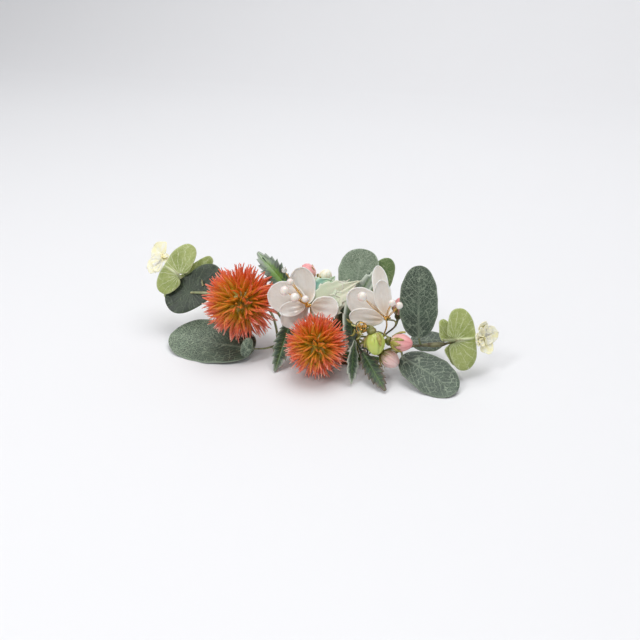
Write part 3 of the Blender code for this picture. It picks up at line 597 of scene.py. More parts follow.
def tape_finish():
    m = Finish("paper_tape", Sheen_Weight=0.2, Roughness=0.8)
    crepe = m.node("ShaderNodeTexWave", wave_type="BANDS", bands_direction="X")
    m.feed(crepe.inputs["Vector"], m.place)
    crepe.inputs["Scale"].default_value = 500
    crepe.inputs["Distortion"].default_value = 3
    m.out("Base Color", m.mix(m.patches(200, 4, 0.35, 0.65), rgb(66, 92, 44), rgb(96, 122, 62)))
    return m.bump(m.plus(crepe.outputs["Fac"], m.noise(1200, 2)), 0.0002, 0.5).material


def steel_finish():
    m = Finish("steel_wire", Metallic=1.0)
    m.out("Base Color", m.mix(m.noise(600), rgb(176, 176, 174), rgb(140, 140, 140)))
    m.out("Roughness", m.varied(2000, 2, 0.2, 0.4))
    return m.bump(m.noise(3000, 2), 0.00006, 0.4).material


def comb_finish():
    """Clear brown moulded plastic."""
    m = Finish("comb_plastic", Transmission_Weight=0.35, IOR=1.49, Coat_Weight=0.3, Coat_Roughness=0.1)
    cloud = m.patches(60, 4, 0.4, 0.65)
    m.out("Base Color", m.mix(cloud, rgb(196, 160, 110), rgb(120, 78, 44)))
    m.out("Roughness", m.varied(400, 2, 0.14, 0.26))
    return m.bump(m.noise(700, 2), 0.00008, 0.25).material


DARK_LEAF = eucalyptus("dark_leaf", rgb(44, 60, 48), rgb(64, 82, 66), rgb(164, 182, 154), rgb(186, 200, 174),
                       False,
                       (0.42, 0.44, 0.3))
ROUND_LEAF = eucalyptus("round_leaf", rgb(90, 108, 86), rgb(116, 134, 110), rgb(176, 190, 166),
                        rgb(192, 204, 180), False,
                        (0.3, 0.3, 0.25))
DARK_PAIR = eucalyptus("dark_pair", rgb(28, 40, 26), rgb(44, 58, 38), rgb(110, 130, 100), rgb(118, 136, 104),
                       True,
                       (0.3, 0.35, 0.0))
LIGHT_PAIR = eucalyptus("light_pair", rgb(132, 148, 68), rgb(158, 170, 94), rgb(204, 210, 156),
                        rgb(228, 232, 196), True,
                        (0.62, 0.3, 0.75))
LIGHT_LEAF = eucalyptus("light_leaf", rgb(112, 142, 84), rgb(136, 162, 100), rgb(186, 200, 150),
                        rgb(190, 206, 156), False)
ROSE = rose_finish()
CREAM = cream_finish()
SPIKES = spike_finish()
SHELL = shell_finish()
PEARL = pearl_finish()
BEAD = bead_finish()
GOLD = gold_finish()
SILK = silk_finish()
PINK = bud_finish("pink_bud", rgb(244, 206, 184), rgb(246, 186, 182), rgb(240, 160, 162), rgb(206, 110, 116),
                  0.25)
PALE_PINK = bud_finish("pale_bud", rgb(238, 218, 186), rgb(246, 208, 200), rgb(248, 216, 212), rgb(222, 160, 158),
                       0.25)
GREEN = bud_finish("green_bud", rgb(176, 184, 84), rgb(200, 214, 106), rgb(206, 220, 112), rgb(140, 156, 50), 0.6)
CREAM_BUD = bud_finish("cream_bud", rgb(214, 214, 140), rgb(250, 246, 216), rgb(254, 250, 234),
                       rgb(214, 206, 150), 0.2)
STEM = stem_finish("plastic_stem", rgb(116, 128, 84), rgb(150, 158, 112), rgb(86, 76, 46))
DARK_STEM = stem_finish("dark_stem", rgb(92, 84, 56), rgb(128, 128, 86), rgb(66, 52, 34))
PALE_STEM = stem_finish("pale_stem", rgb(150, 158, 116), rgb(176, 178, 138), rgb(134, 122, 84))
TWIG = stem_finish("bud_twig", rgb(96, 102, 46), rgb(136, 136, 70), rgb(110, 78, 48), 0.35)
SEPAL = stem_finish("sepal", rgb(150, 140, 62), rgb(176, 168, 84), rgb(134, 92, 56), 0.3)
TAPE = tape_finish()
STEEL = steel_finish()
COMB = comb_finish()


# ---------------------------------------------------------------- eucalyptus

def eucalyptus_leaf(name, stem, finish, fullest=0.5, dust_and_light=(0.4, 0.4), wave=0.35, seed=0.0, roll=0.0):
    """One round leaf: raised midrib, sunk side veins, a rolled and slightly waved edge."""
    blade = Blade(name, nearest(corners_of(stem), middle_of(name)))
    u = eased(64)[:, None]
    x = np.linspace(-1, 1, 37)
    v = (np.sign(x) * np.abs(x) ** 1.25)[None]
    ragged = 1 + 0.012 * np.sin(17 * u + seed) + 0.01 * np.sin(31 * u + 2 * seed)
    half = oval(u, fullest) * blade.width * ragged
    y = v * half
    rib = np.exp(-((y / (0.35 + 0.35 * (1 - u))) ** 2)) * (1 - u) ** 0.5
    bent = (np.abs(y) * 0.75 + 0.045 * y * y)
    phase = np.abs((blade.length * u - bent) / 3.8 % 1.0 - 0.5) * 2
    sunk = np.clip(1 - (1 - phase) / 0.3, 0, 1)
    rise = 0.28 * rib + 0.1 * sunk * (1 - np.abs(v) ** 4) - 0.5 * np.abs(v) ** 5 * (half / half.max())
    rise = rise + wave * np.sin(5.5 * u * math.pi / 2 + seed + 1.5 * np.sign(v)) * np.abs(v) ** 3
    rise = rise + roll * np.clip((v * np.sign(blade.side[0]) - 0.45) / 0.55, 0, 1) ** 2 * np.sin(math.pi * u)
    points = blade.at(u, y, rise)
    quads = grid_quads(*points.shape[:2])
    inside = np.maximum(half - np.abs(y), 0)
    marks = {"rib": rib + 0 * y, "rim": np.exp(-inside / 0.4),
             # pale speckle amount from foot to tip: real powdery bloom plus painted light and shade
             "dust_and_light": dust_and_light[0] + (dust_and_light[1] - dust_and_light[0]) * u + 0 * y}
    return leaf_piece(name, points, quads, marks, (blade.length * u + 0 * y, y), finish)


def leaf_piece(name, points, quads, marks, flat, finish, thick=LEAF_THICK):
    whole, faces, source = shell(points.reshape(-1, 3), quads, thick)
    marks = {key: value.ravel()[source] for key, value in marks.items()}
    uv = np.stack([flat[0].ravel()[source], flat[1].ravel()[source]], axis=1) / 10
    return piece(name + "_cloth", whole, faces, finish, (name,), marks, uv)


def eucalyptus_pair(name, stem, finish, notch, dust_and_light=(0.4, 0.4), ridge=0.55, seed=0.0, place=0.5,
                    spread=0.055,
                    dent=0.06, origin=None):
    """Two leaves grown together round the stem. origin is where the veins start, if not at the slit."""
    blade = Blade(name, nearest(corners_of(stem), middle_of(name)), fork=True)
    u = eased(72, [(place, 0.07, 25)])[:, None]
    v = np.linspace(-1, 1, 31)[None]
    low, high = (side * blade.width for side in lobes(u, notch, dent, place, spread))
    ragged = 1 + 0.012 * np.sin(15 * u + seed)
    low, high = low * ragged, high * ragged
    y = (low + high) / 2 + v * (high - low) / 2
    hub = -0.5 * blade.width * (1 - 2 * notch)
    start = origin or (place, hub)
    x = blade.length * (u - start[0])
    out = np.clip((y - hub) / (0.5 * blade.width - hub), 0, 1)
    rib = np.exp(-((x / (0.5 + 0.5 * (1 - out))) ** 2)) * (1 - out**4)
    angle = np.arctan2(x, y - start[1] + 1.2)
    phase = np.abs(angle / 0.32 % 1.0 - 0.5) * 2
    sunk = np.clip(1 - (1 - phase) / 0.3, 0, 1)
    edge = np.minimum(high - y, y - low)
    rise = ridge * rib + 0.12 * sunk * np.clip(edge / 2, 0, 1) - 0.35 * np.exp(-edge / 1.2)
    rise = rise + 0.3 * np.sin(6 * u * math.pi + seed) * np.exp(-edge / 3)
    points = blade.at(u, y, rise)
    quads = grid_quads(*points.shape[:2])
    marks = {"rib": rib, "rim": np.exp(-np.maximum(edge, 0) / 0.4),
             # pale speckle amount from foot to tip: real powdery bloom plus painted light and shade
             "dust_and_light": dust_and_light[0] + (dust_and_light[1] - dust_and_light[0]) * u + 0 * y}
    leaf_piece(name, points, quads, marks, (x + 0 * y, y - start[1]), finish)
    return blade


def petiole(name, blade, places, thick, finish):
    """A pale stem end lying on a leaf. places lists (share, beside, above) on the leaf."""
    line = smooth_line([blade.at(u, y, h) for u, y, h in places], 28)
    swell = np.interp(np.linspace(0, 1, 28), np.linspace(0, 1, len(thick)), thick)
    points, faces = tube(line, swell * (1 + 0.05 * np.sin(np.arange(28) * 1.3)), 12)
    return piece(name, points, faces, finish)


def stalk(name, foot, stem, finish, sag=1.2):
    """A short moulded stalk from a stem to the foot of a leaf, which the plain solids leave out."""
    root = nearest(corners_of(stem), foot)
    line = smooth_line([root, (root + foot) / 2 - [0.0, 0.0, sag], foot], 18)
    points, faces = tube(line, np.linspace(0.75, 0.45, 18), 10)
    return piece(name, points, faces, finish)


def tip_leaflets(name, stem, finish, ruffle=0.7):
    """A tuft of small pointed leaflets round the end of a stem."""
    points = corners_of(name)
    hub = nearest(corners_of(stem), middle_of(name))
    axes = np.linalg.svd(points - points.mean(0), full_matrices=False)[2]
    face = axes[2] * (1 if (points.mean(0) - hub) @ axes[2] > 0 else -1)
    east = axes[0]
    north = np.cross(face, east)
    offset = points - hub
    turn = np.degrees(np.arctan2(offset @ north, offset @ east)) % 360
    reach = np.hypot(offset @ north, offset @ east)
    lift = np.linalg.lstsq(np.stack([np.ones_like(reach), reach**2], 1), offset @ face, rcond=None)[0]
    bins = np.array([reach[np.abs((turn - t + 180) % 360 - 180) < 9].max(initial=0.0) for t in range(0, 360, 5)])
    smooth = sum(np.roll(bins, k) for k in (-2, -1, 0, 1, 2)) / 5
    peaks = [k for k in range(72)
             if smooth[k] > 5 and smooth[k] == max(np.roll(smooth, s)[k] for s in range(-6, 7))]
    parts = []
    for count, k in enumerate(peaks):
        centre = math.radians(5 * k)
        length = bins[max(0, k - 2) : k + 3].max() * 1.08
        for layer, (swing, share) in enumerate(((0.0, 1.0), (0.75, 0.66))):
            ray = math.cos(centre + swing) * east + math.sin(centre + swing) * north
            cross = np.cross(ray, face)
            u, v = eased(30)[:, None], np.linspace(-1, 1, 17)[None]
            half = (0.5 * length * share * np.sin(np.pi * u**1.15) ** 0.5
                    * (1 + 0.08 * np.sin(14 * u + count)) + 0.12)
            point = 0.05 * length * share * np.exp(-((v / 0.25) ** 2)) * u**6
            y = v * half
            r = 0.8 + length * share * u + point
            rise = lift[0] + lift[1] * r**2 * 0.85 + 1.0 * layer
            rise = rise + ruffle * v**2 * (0.9 * np.sin(5 * u + 2.2 * np.sign(v) + 2.1 * count) + 1.3 * (1 - u))
            rise = rise - 0.5 * np.exp(-((v / 0.12) ** 2)) * np.sin(np.pi * u)
            grid = hub + r[..., None] * ray + y[..., None] * cross + rise[..., None] * face
            whole, faces, source = shell(grid.reshape(-1, 3), grid_quads(*grid.shape[:2]), 0.35)
            marks = {"heart": (np.exp(-u * 6) + 0 * y).ravel()[source], "u": (length * u + 0 * y).ravel()[source],
                     "v": y.ravel()[source]}
            parts.append((whole, faces, marks))
    knob, knob_faces = turned([(0.3, -0.8), (1.0, -0.3), (1.1, 0.4), (0.7, 1.2), (0.1, 1.7)], hub, face, 16)
    parts.append((knob, knob_faces, {"heart": 1.0}))
    whole, faces, marks = gathered(parts)
    uv = np.stack([marks.pop("u"), marks.pop("v")], axis=1) / 10
    return piece(name + "_leaflets", whole, faces, finish, (name,), marks, uv)


# The two speckle amounts of each leaf also paint light and shade: the left floor leaf darkens towards its foot in
# the ball's shadow, the upright leaf lightens towards its top.
eucalyptus_leaf("left_floor_leaf", "spine_wire", DARK_LEAF, 0.55, (-0.2, 1.25), 0.5, 0.4)
eucalyptus_leaf("left_low_leaf", "left_ball_stem", DARK_LEAF, 0.5, (0.5, 0.5), 0.0, 1.0)
eucalyptus_leaf("right_upright_leaf", "right_stem", DARK_LEAF, 0.45, (0.2, 0.8), 0.4, 2.0)
eucalyptus_leaf("right_rear_leaf", "right_stem", DARK_LEAF, 0.5, (0.2, 0.2), 0.3, 3.0)
eucalyptus_leaf("right_floor_leaf", "right_stem", DARK_LEAF, 0.55, (0.0, 0.35), 0.5, 4.0)
eucalyptus_leaf("back_round_leaf", "back_stem", ROUND_LEAF, 0.55, (0.4, 1.0), 0.35, 5.0, 3.5)
eucalyptus_leaf("back_light_leaf", "back_stem", LIGHT_LEAF, 0.5, (0.4, 0.4), 0.3, 6.0)
dark_pair = eucalyptus_pair("left_dark_pair", "left_stem", DARK_PAIR, 0.06, (0.1, 0.25), 0.0, 1.0,
                            0.5, 0.2, 0.02, origin=(0.42, 1.0))
eucalyptus_pair("left_rear_pair", "left_stem", LIGHT_PAIR, 0.6, (0.5, 0.5), 0.3, 2.0)
light_pair = eucalyptus_pair("left_light_pair", "left_stem", LIGHT_PAIR, 0.3, (0.5, 0.3), 0.6, 3.0,
                             0.57, 0.07, 0.03)
eucalyptus_pair("right_light_pair", "right_stem", LIGHT_PAIR, 0.75, (0.5, 0.5), 0.3, 4.0)
wide_pair = eucalyptus_pair("right_wide_pair", "right_stem", LIGHT_PAIR, 0.3, (0.5, 0.5), 0.7, 5.0,
                            dent=0.03)
petiole("dark_pair_petiole", dark_pair, [(0.7, 10.2, 1.2), (0.62, 7.5, 1.5), (0.52, 4.2, 1.2), (0.42, 1.0, 0.5)],
        (1.0, 0.95, 0.85, 0.7), PALE_STEM)
petiole("dark_pair_prong", dark_pair, [(0.64, 1.6, 0.6), (0.655, 0.2, 1.6), (0.68, -1.5, 2.6)], (0.75, 0.6, 0.3),
        PALE_STEM)
petiole("light_pair_petiole", light_pair, [(0.6, -6.8, -0.6), (0.57, -3.6, 0.9), (0.55, -1.0, 0.5),
                                           (0.54, 2.5, 0.1)],
        (0.9, 0.8, 0.55, 0.2), PALE_STEM)
petiole("wide_pair_petiole", wide_pair, [(0.53, -12.5, 0.6), (0.52, -8.0, 1.2), (0.5, -2.0, 0.8),
                                         (0.48, 5.5, 0.1)],
        (1.0, 0.95, 0.6, 0.2), PALE_STEM)
for leaf, stem in [("left_floor_leaf", "spine_wire"), ("right_upright_leaf", "right_stem"),
                   ("right_rear_leaf", "right_stem"), ("right_floor_leaf", "right_stem"),
                   ("back_round_leaf", "back_stem"), ("back_light_leaf", "back_stem")]:
    foot = Blade(leaf, nearest(corners_of(stem), middle_of(leaf))).at(0.03, 0.0, -0.2)
    stalk(leaf + "_stalk", foot, stem, STEM)
for pair, stem in [("left_rear_pair", "left_stem"), ("left_light_pair", "left_stem"),
                   ("right_wide_pair", "right_stem")]:
    stalk(pair + "_stalk", nearest(corners_of(pair), nearest(corners_of(stem), middle_of(pair))), stem, STEM, 0.2)
tip_leaflets("left_tip_whorl", "left_stem", CREAM)
tip_leaflets("right_tip_whorl", "right_stem", CREAM)


# ---------------------------------------------------------------- rose leaves

def rose_leaf(name, fullest=0.42, bright=0.7, pale=0.6, brown=0.0, teeth=8, fold=0.35, bite=0.3, frosted=0.0):
    """A toothed leaf folded along its midrib, on its stalk from the taped spine."""
    points = corners_of(name)
    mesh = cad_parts[name].data
    corner = np.array([[mesh.vertices[v].co[:] for v in face.vertices] for face in mesh.polygons]) / MM
    area = np.linalg.norm(np.cross(corner[:, 1] - corner[:, 0], corner[:, 2] - corner[:, 0]), axis=1) / 2
    broad = corner[area > 1.3].reshape(-1, 3)
    spine = middle_of("spine_wire")
    rough = Blade(name, spine, points=np.unique(np.round(broad, 3), axis=0))
    offset = points - rough.middle
    a, b, h = offset @ rough.along, offset @ rough.side, offset @ rough.face
    s = (a - rough.start) / rough.length - 0.5
    fitted = Blade.terms(np.clip(s, -0.6, 0.6), (b - rough.centre) / rough.width) @ rough.fit
    on_leaf = (np.abs(h - fitted) < 0.7) & (s > -0.56) & (np.abs(b - rough.centre) < 0.6 * rough.width)
    stalk_end = rough.at(0.0, 0.0)
    blade = Blade(name, spine, points=points[on_leaf])
    if (blade.along @ rough.along) < 0:
        blade = rough
    rest = points[~on_leaf]
    foot = rest[np.linalg.norm(rest - stalk_end, axis=1).argmax()]
    chord = foot - stalk_end
    share = np.clip((rest - stalk_end) @ chord / (chord @ chord), 0, 1)
    knots = [blade.at(0.06, 0.0), blade.at(0.0, 0.0)]
    for low in np.arange(0.05, 1.0, 0.19):
        chosen = rest[(share >= low) & (share < low + 0.19)]
        if len(chosen) > 4:
            knots.append((chosen.min(0) + chosen.max(0)) / 2)
    line = smooth_line(knots, 26)
    stalk, stalk_faces = tube(line, np.linspace(0.4, 0.55, 26), 8)
    u = np.linspace(0, 1, teeth * 10 + 1)[:, None]
    v = np.linspace(-1, 1, 25)[None]
    body = 0.5 * blade.width * np.maximum(0.05, np.sin(np.pi * skewed(u, fullest)) ** 0.8)
    saw = (u * teeth) % 1.0
    cut = np.where((u > 0.08) & (u < 0.985), bite * (1 - saw**1.5), 0.0)
    half = body * (1 - cut) * 1.04
    y = v * half
    forward = 1.1 * np.where(cut > 0, saw, 0) * np.abs(v) ** 3
    x = blade.length * u + forward
    rib = np.exp(-((y / 0.35) ** 2))
    rise = fold * np.abs(y) * 0.5 * np.sin(np.pi * np.clip(u, 0.02, 1)) - 0.25 * rib
    rise = rise + 0.35 * np.sin(2 * np.pi * u * teeth / 2) * np.abs(v) ** 3
    rise = rise + 0.5 * np.sin(2.2 * np.pi * u) * np.abs(v) * v
    grid = blade.at(np.clip(x / blade.length, 0, 1.04), y, rise)
    whole, faces, source = shell(grid.reshape(-1, 3), grid_quads(*grid.shape[:2]), 0.4)
    inside = np.maximum(half - np.abs(y), 0)
    values = {"rib": rib + 0 * y, "rim": np.exp(-inside / 0.7), "out": np.abs(v) + 0 * y, "u": x + 0 * y, "v": y,
              # painted highlight: whitish streaks that grow towards the tip
              "frosted": frosted * np.clip(1.6 * (u - 0.45), 0, 1) * np.abs(np.sin(9 * u + 4 * v)) ** 0.5,
              "bright": bright + 0 * y, "pale": pale + 0 * y, "brown": brown + 0 * y}
    values = {key: value.ravel()[source] for key, value in values.items()}
    whole, faces, marks = gathered([(whole, faces, values), (stalk, stalk_faces, {"out": 0.6, "bright": 0.4})])
    uv = np.stack([marks.pop("u"), marks.pop("v")], axis=1) / 10
    return piece(name + "_cloth", whole, faces, ROSE, (name,), marks, uv)


# The back-left and back-right leaves get a painted highlight towards their tips.
rose_leaf("rose_leaf_back_left", bright=1.1, pale=0.3, frosted=0.8)
rose_leaf("rose_leaf_hanging", bright=0.1, pale=0.5)
rose_leaf("rose_leaf_front_a", bright=0.1, pale=2.0, brown=0.3, bite=0.2)
rose_leaf("rose_leaf_front_b", bright=0.12, pale=0.15, brown=0.6)
rose_leaf("rose_leaf_back_right", bright=0.2, pale=3.5, frosted=0.6)
rose_leaf("rose_leaf_middle", bright=0.1, pale=2.5, teeth=5, bite=0.06)


# ---------------------------------------------------------------- geometry node trees

class Tree:
    """A geometry node tree under construction, with named inputs."""

    def __init__(self, name, **sizes):
        self.group = bpy.data.node_groups.new(name, "GeometryNodeTree")
        self.group.interface.new_socket("Geometry", in_out="INPUT", socket_type="NodeSocketGeometry")
        self.sizes = {}
        for key, value in sizes.items():
            kind = "NodeSocketInt" if isinstance(value, int) else "NodeSocketFloat"
            socket = self.group.interface.new_socket(key, in_out="INPUT", socket_type=kind)
            socket.default_value = value
            self.sizes[key] = socket.identifier
        self.group.interface.new_socket("Geometry", in_out="OUTPUT", socket_type="NodeSocketGeometry")
        self.inputs = self.group.nodes.new("NodeGroupInput").outputs

    def node(self, kind, inputs=(), **settings):
        made = self.group.nodes.new(kind)
        for key, value in settings.items():
            setattr(made, key, value)
        for key, value in dict(inputs).items():
            socket = made.inputs[key]
            if isinstance(value, bpy.types.NodeSocket):
                self.group.links.new(value, socket)
            else:
                socket.default_value = value
        return made

    def math(self, operation, first, second=0.0):
        return self.node("ShaderNodeMath", {0: first, 1: second}, operation=operation).outputs[0]

    def plus(self, first, second):
        return self.math("ADD", first, second)

    def times(self, first, second):
        return self.math("MULTIPLY", first, second)

    def join(self, *parts):
        made = self.group.nodes.new("GeometryNodeJoinGeometry")
        for part in reversed(parts):
            self.group.links.new(part, made.inputs[0])
        return made.outputs[0]

    def random(self, low, high, seed, kind="FLOAT"):
        made = self.node("FunctionNodeRandomValue", {"Seed": seed}, data_type=kind)
        for socket in made.inputs:
            if socket.enabled and socket.name in ("Min", "Max"):
                socket.default_value = low if socket.name == "Min" else high
        return next(socket for socket in made.outputs if socket.enabled)

    def finish(self, geometry, material):
        real = self.node("GeometryNodeRealizeInstances", {0: geometry}).outputs[0]
        set_material = self.node("GeometryNodeSetMaterial", {"Geometry": real, "Material": material}).outputs[0]
        end = self.group.nodes.new("NodeGroupOutput")
        self.group.links.new(set_material, end.inputs[0])
        return self

    def grow(self, name, source, slot, nodes=(), place=None, **sizes):
        """Runs the tree on a mesh and gives the plain mesh as a finished piece."""
        item = bpy.data.objects.new(name, source)
        bpy.context.scene.collection.objects.link(item)
        modifier = item.modifiers.new("grow", "NODES")
        modifier.node_group = self.group
        for key, value in sizes.items():
            modifier[self.sizes[key]] = value
        graph = bpy.context.evaluated_depsgraph_get()
        mesh = bpy.data.meshes.new_from_object(item.evaluated_get(graph), preserve_all_data_layers=True,
                                               depsgraph=graph)
        item.modifiers.clear()
        item.data = mesh
        if place is not None:
            mesh.transform(place)
        mesh.polygons.foreach_set("use_smooth", [True] * len(mesh.polygons))
        return ridden(item, nodes)


def seed_points(centre, reach, count, bare_way, bare=0.93):
    """Points spread evenly over a ball, each with its outward way, none where the stem enters."""
    k = np.arange(count) + 0.5
    z = 1 - 2 * k / count
    turn = k * math.pi * (3 - math.sqrt(5))
    way = np.stack([np.sqrt(1 - z * z) * np.cos(turn), np.sqrt(1 - z * z) * np.sin(turn), z], axis=1)
    way = way[way @ unit(bare_way) < bare]
    mesh = bpy.data.meshes.new("seed_points")
    mesh.from_pydata(((centre + way * reach) * MM).tolist(), [], [])
    mesh.attributes.new("way", "FLOAT_VECTOR", "POINT").data.foreach_set("vector", way.ravel().astype(np.float32))
    mesh.attributes.new("pinker", "FLOAT", "POINT").data.foreach_set(
        "value", np.clip(0.5 - 0.5 * way[:, 2], 0, 1).astype(np.float32))
    facing = np.clip((way @ unit(VIEWER * (1, 1, 0.7)) - 0.45) / 0.5, 0, 1)
    mesh.attributes.new("young", "FLOAT", "POINT").data.foreach_set("value", facing.astype(np.float32))
    return mesh


def spike_tree():
    tree = Tree("seed_ball_spikes", Length=0.02, Thickness=0.045, Core=0.01, Seed=11)
    length, thickness, core, seed = (tree.inputs[k] for k in ("Length", "Thickness", "Core", "Seed"))
    kinds = []
    for bend, lean in ((0.04, 0.03), (0.12, -0.09), (-0.08, 0.2), (0.02, -0.16)):
        curve = tree.node("GeometryNodeCurveQuadraticBezier",
                          {"Resolution": 6, "Start": (0, 0, 0), "Middle": (bend, 0, 0.55),
                           "End": (lean, 0, 1)}).outputs[0]
        factor = tree.node("GeometryNodeSplineParameter").outputs["Factor"]
        marked = tree.node("GeometryNodeStoreNamedAttribute",
                           {"Geometry": curve, "Name": "along", "Value": factor},
                           data_type="FLOAT", domain="POINT").outputs[0]
        swell = tree.math("MAXIMUM", tree.math("SUBTRACT", 1.0, tree.math("POWER", factor, 3.6)), 0.24)
        swollen = tree.node("GeometryNodeSetCurveRadius", {"Curve": marked, "Radius": swell}).outputs[0]
        ring = tree.node("GeometryNodeCurvePrimitiveCircle", {"Resolution": 5, "Radius": thickness},
                         mode="RADIUS")
        sized = tree.node("GeometryNodeCurveToMesh",
                          {"Curve": swollen, "Profile Curve": ring.outputs[0], "Fill Caps": True})
        if "Scale" in sized.inputs:
            tree.group.links.new(swell, sized.inputs["Scale"])
        kinds.append(tree.node("GeometryNodeGeometryToInstance", {0: sized.outputs[0]}).outputs[0])
    way = tree.node("GeometryNodeInputNamedAttribute", {"Name": "way"}, data_type="FLOAT_VECTOR").outputs[0]
    aim = tree.node("FunctionNodeAlignRotationToVector", {"Vector": way}, axis="Z").outputs[0]
    sway = tree.random((-0.24, -0.24, 0.0), (0.24, 0.24, 6.28), seed, "FLOAT_VECTOR")
    turned_aim = tree.node("FunctionNodeRotateRotation", {"Rotation": aim}, rotation_space="LOCAL")
    tree.group.links.new(sway, turned_aim.inputs[1])
    scale = tree.times(length, tree.random(0.78, 1.0, tree.plus(seed, 3)))
    spikes = tree.node("GeometryNodeInstanceOnPoints",
                       {"Points": tree.inputs["Geometry"], "Instance": tree.join(*kinds), "Pick Instance": True,
                        "Rotation": turned_aim.outputs[0], "Scale": scale}).outputs[0]
    toned = tree.node("GeometryNodeStoreNamedAttribute",
                      {"Geometry": spikes, "Name": "tone", "Value": tree.random(0.0, 1.0, tree.plus(seed, 7))},
                      data_type="FLOAT", domain="INSTANCE").outputs[0]
    heart = tree.node("GeometryNodeMeshIcoSphere", {"Radius": core, "Subdivisions": 4}).outputs[0]
    return tree, toned, heart


def spiky_ball(node, stem, count, seed):
    """A ball of curved tapering spikes over a small core, bare where its stem enters."""
    low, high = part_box(node)
    centre, radius = np.array((low + high) / 2) / MM, max(high - low) / 2 / MM
    way = nearest(corners_of(stem), centre) - centre
    tree, spikes, heart = spike_tree()
    moved = tree.node("GeometryNodeTransform", {"Geometry": heart, "Translation": tuple(centre * MM)}).outputs[0]
    tree.finish(tree.join(spikes, moved), SPIKES)
    return tree.grow(node + "_spikes", seed_points(centre, 0.3 * radius, count, way), "ball", (node,),
                     Length=0.79 * radius * MM, Thickness=0.056, Core=0.48 * radius * MM, Seed=seed)


spiky_ball("left_ball", "left_ball_stem", 500, 11)
spiky_ball("front_ball", "front_ball_stem", 440, 29)


# ---------------------------------------------------------------- shell flowers

def shell_petal(name, hub, fullest=0.6, wave=0.0, seed=0.0):
    """A resin petal with a thick rolled rim and soft folds from its foot."""
    blade = Blade(name, hub)
    u = eased(56)[:, None]
    v = np.linspace(-1, 1, 33)[None]
    ragged = 1 + 0.02 * np.sin(11 * u + seed) + 0.015 * np.sin(23 * u + 2 * seed)
    half = oval(u, fullest, 2.0, 0.06) * blade.width * ragged
    y = v * half
    inside = np.maximum(half - np.abs(y), 0) * 0.8
    tip = blade.length * (1 - u)
    inside = np.minimum(inside, tip + 0 * y)
    rise = 0.35 * np.exp(-inside / 0.7) + 0.3 * np.cos(3 * math.pi * v) * (1 - u) * np.sin(math.pi * u)
    rise = (rise + wave * np.sin(7 * u * math.pi / 2 + seed) * v * np.abs(v)
            + 0.5 * v**2 * np.sin(2 * math.pi * u + seed))
    points = blade.at(u, y, rise)
    thick = PETAL_THICK * (0.75 + 0.5 * np.exp(-((inside - 0.3) / 0.4) ** 2))
    whole, faces, source = shell(points.reshape(-1, 3), grid_quads(*points.shape[:2]), thick.ravel())
    # rim is the nearness to the edge, which also places the painted highlight
    marks = {"rim": np.exp(-inside / 0.55).ravel()[source], "foot": (1 - u + 0 * y).ravel()[source]}
    uv = np.stack([(blade.length * u + 0 * y).ravel()[source], y.ravel()[source]], axis=1) / 10
    return piece(name + "_resin", whole, faces, SHELL, (name,), marks, uv)


def reach_of(name):
    low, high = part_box(name)
    return (high - low).z / 2 / MM


def pearl(name, hub, finish=PEARL):
    """A pearl, a little uneven, dimpled where its wire goes in."""
    centre = middle_of(name)
    radius = reach_of(name)
    axis = unit(centre - hub)
    turn = np.linspace(0.02, math.pi - 0.02, 31)
    profile = [(radius * math.sin(t), -radius * math.cos(t) + 0.3 * radius * (math.exp(-t * 9))) for t in turn]
    points, faces = turned(profile, centre, axis, 48, lambda a, s: 1 + 0.008 * np.sin(3 * a + 9 * s))
    return piece(name + "_bead", points, faces, finish, (name,))


def wound_wires(name, hub, ends):
    """Two fine strands twisted round each wire from the flower's centre to a pearl."""
    parts = []
    for end, radius in ends:
        way = unit(end - hub)
        knee = (hub + end) / 2 + np.array([0, -1.0, 1.2])
        line = smooth_line([hub, knee, end - way * radius], 60)
        direction = unit(np.gradient(line, axis=0))
        side = unit(np.cross(direction, [0.3, 0.9, 0.2]))
        other = np.cross(direction, side)
        for strand in (0.0, math.pi):
            turn = np.linspace(0, 14 * math.pi, 60) + strand
            coil = line + 0.34 * (np.cos(turn)[:, None] * side + np.sin(turn)[:, None] * other)
            parts.append((*tube(coil, 0.09, 5), {}))
    points, faces, _ = gathered(parts)
    return piece(name, points, faces, GOLD)


left_wires, right_wires = corners_of("left_flower_wires"), corners_of("right_flower_wires")
LEFT_HUB, RIGHT_HUB = densest_point(left_wires, 1.6), densest_point(right_wires, 1.6)
for petal_name, fullest, wave, seed in (("left_petal_big", 0.6, 0.3, 0.5), ("left_petal_top", 0.6, 0.3, 1.7),
                                        ("left_petal_small", 0.6, 0.3, 2.9), ("left_petal_low", 0.6, 1.1, 4.1),
                                        ("left_petal_right", 0.6, 0.3, 5.3)):
    shell_petal(petal_name, LEFT_HUB, fullest, wave=wave, seed=seed)
for petal_name, wave, seed in (("right_petal_big", 0.3, 0.9), ("right_petal_up", 0.2, 2.1),
                               ("right_petal_low", 0.4, 3.3), ("right_petal_back", 0.3, 4.5)):
    shell_petal(petal_name, RIGHT_HUB, 0.6, wave=wave, seed=seed)
left_pearls = ["left_pearl_1", "left_pearl_2", "left_pearl_3", "left_pearl_4"]
right_pearls = ["right_pearl_1", "right_pearl_2", "right_pearl_3"]
for name in left_pearls:
    pearl(name, LEFT_HUB)
pearl("left_pearl_5", LEFT_HUB, BEAD)
for name in right_pearls:
    pearl(name, RIGHT_HUB)


wound_wires("left_wire_twist", LEFT_HUB, [(middle_of(n), reach_of(n)) for n in left_pearls + ["left_pearl_5"]])
wound_wires("right_wire_twist", RIGHT_HUB, [(middle_of(n), reach_of(n)) for n in right_pearls])


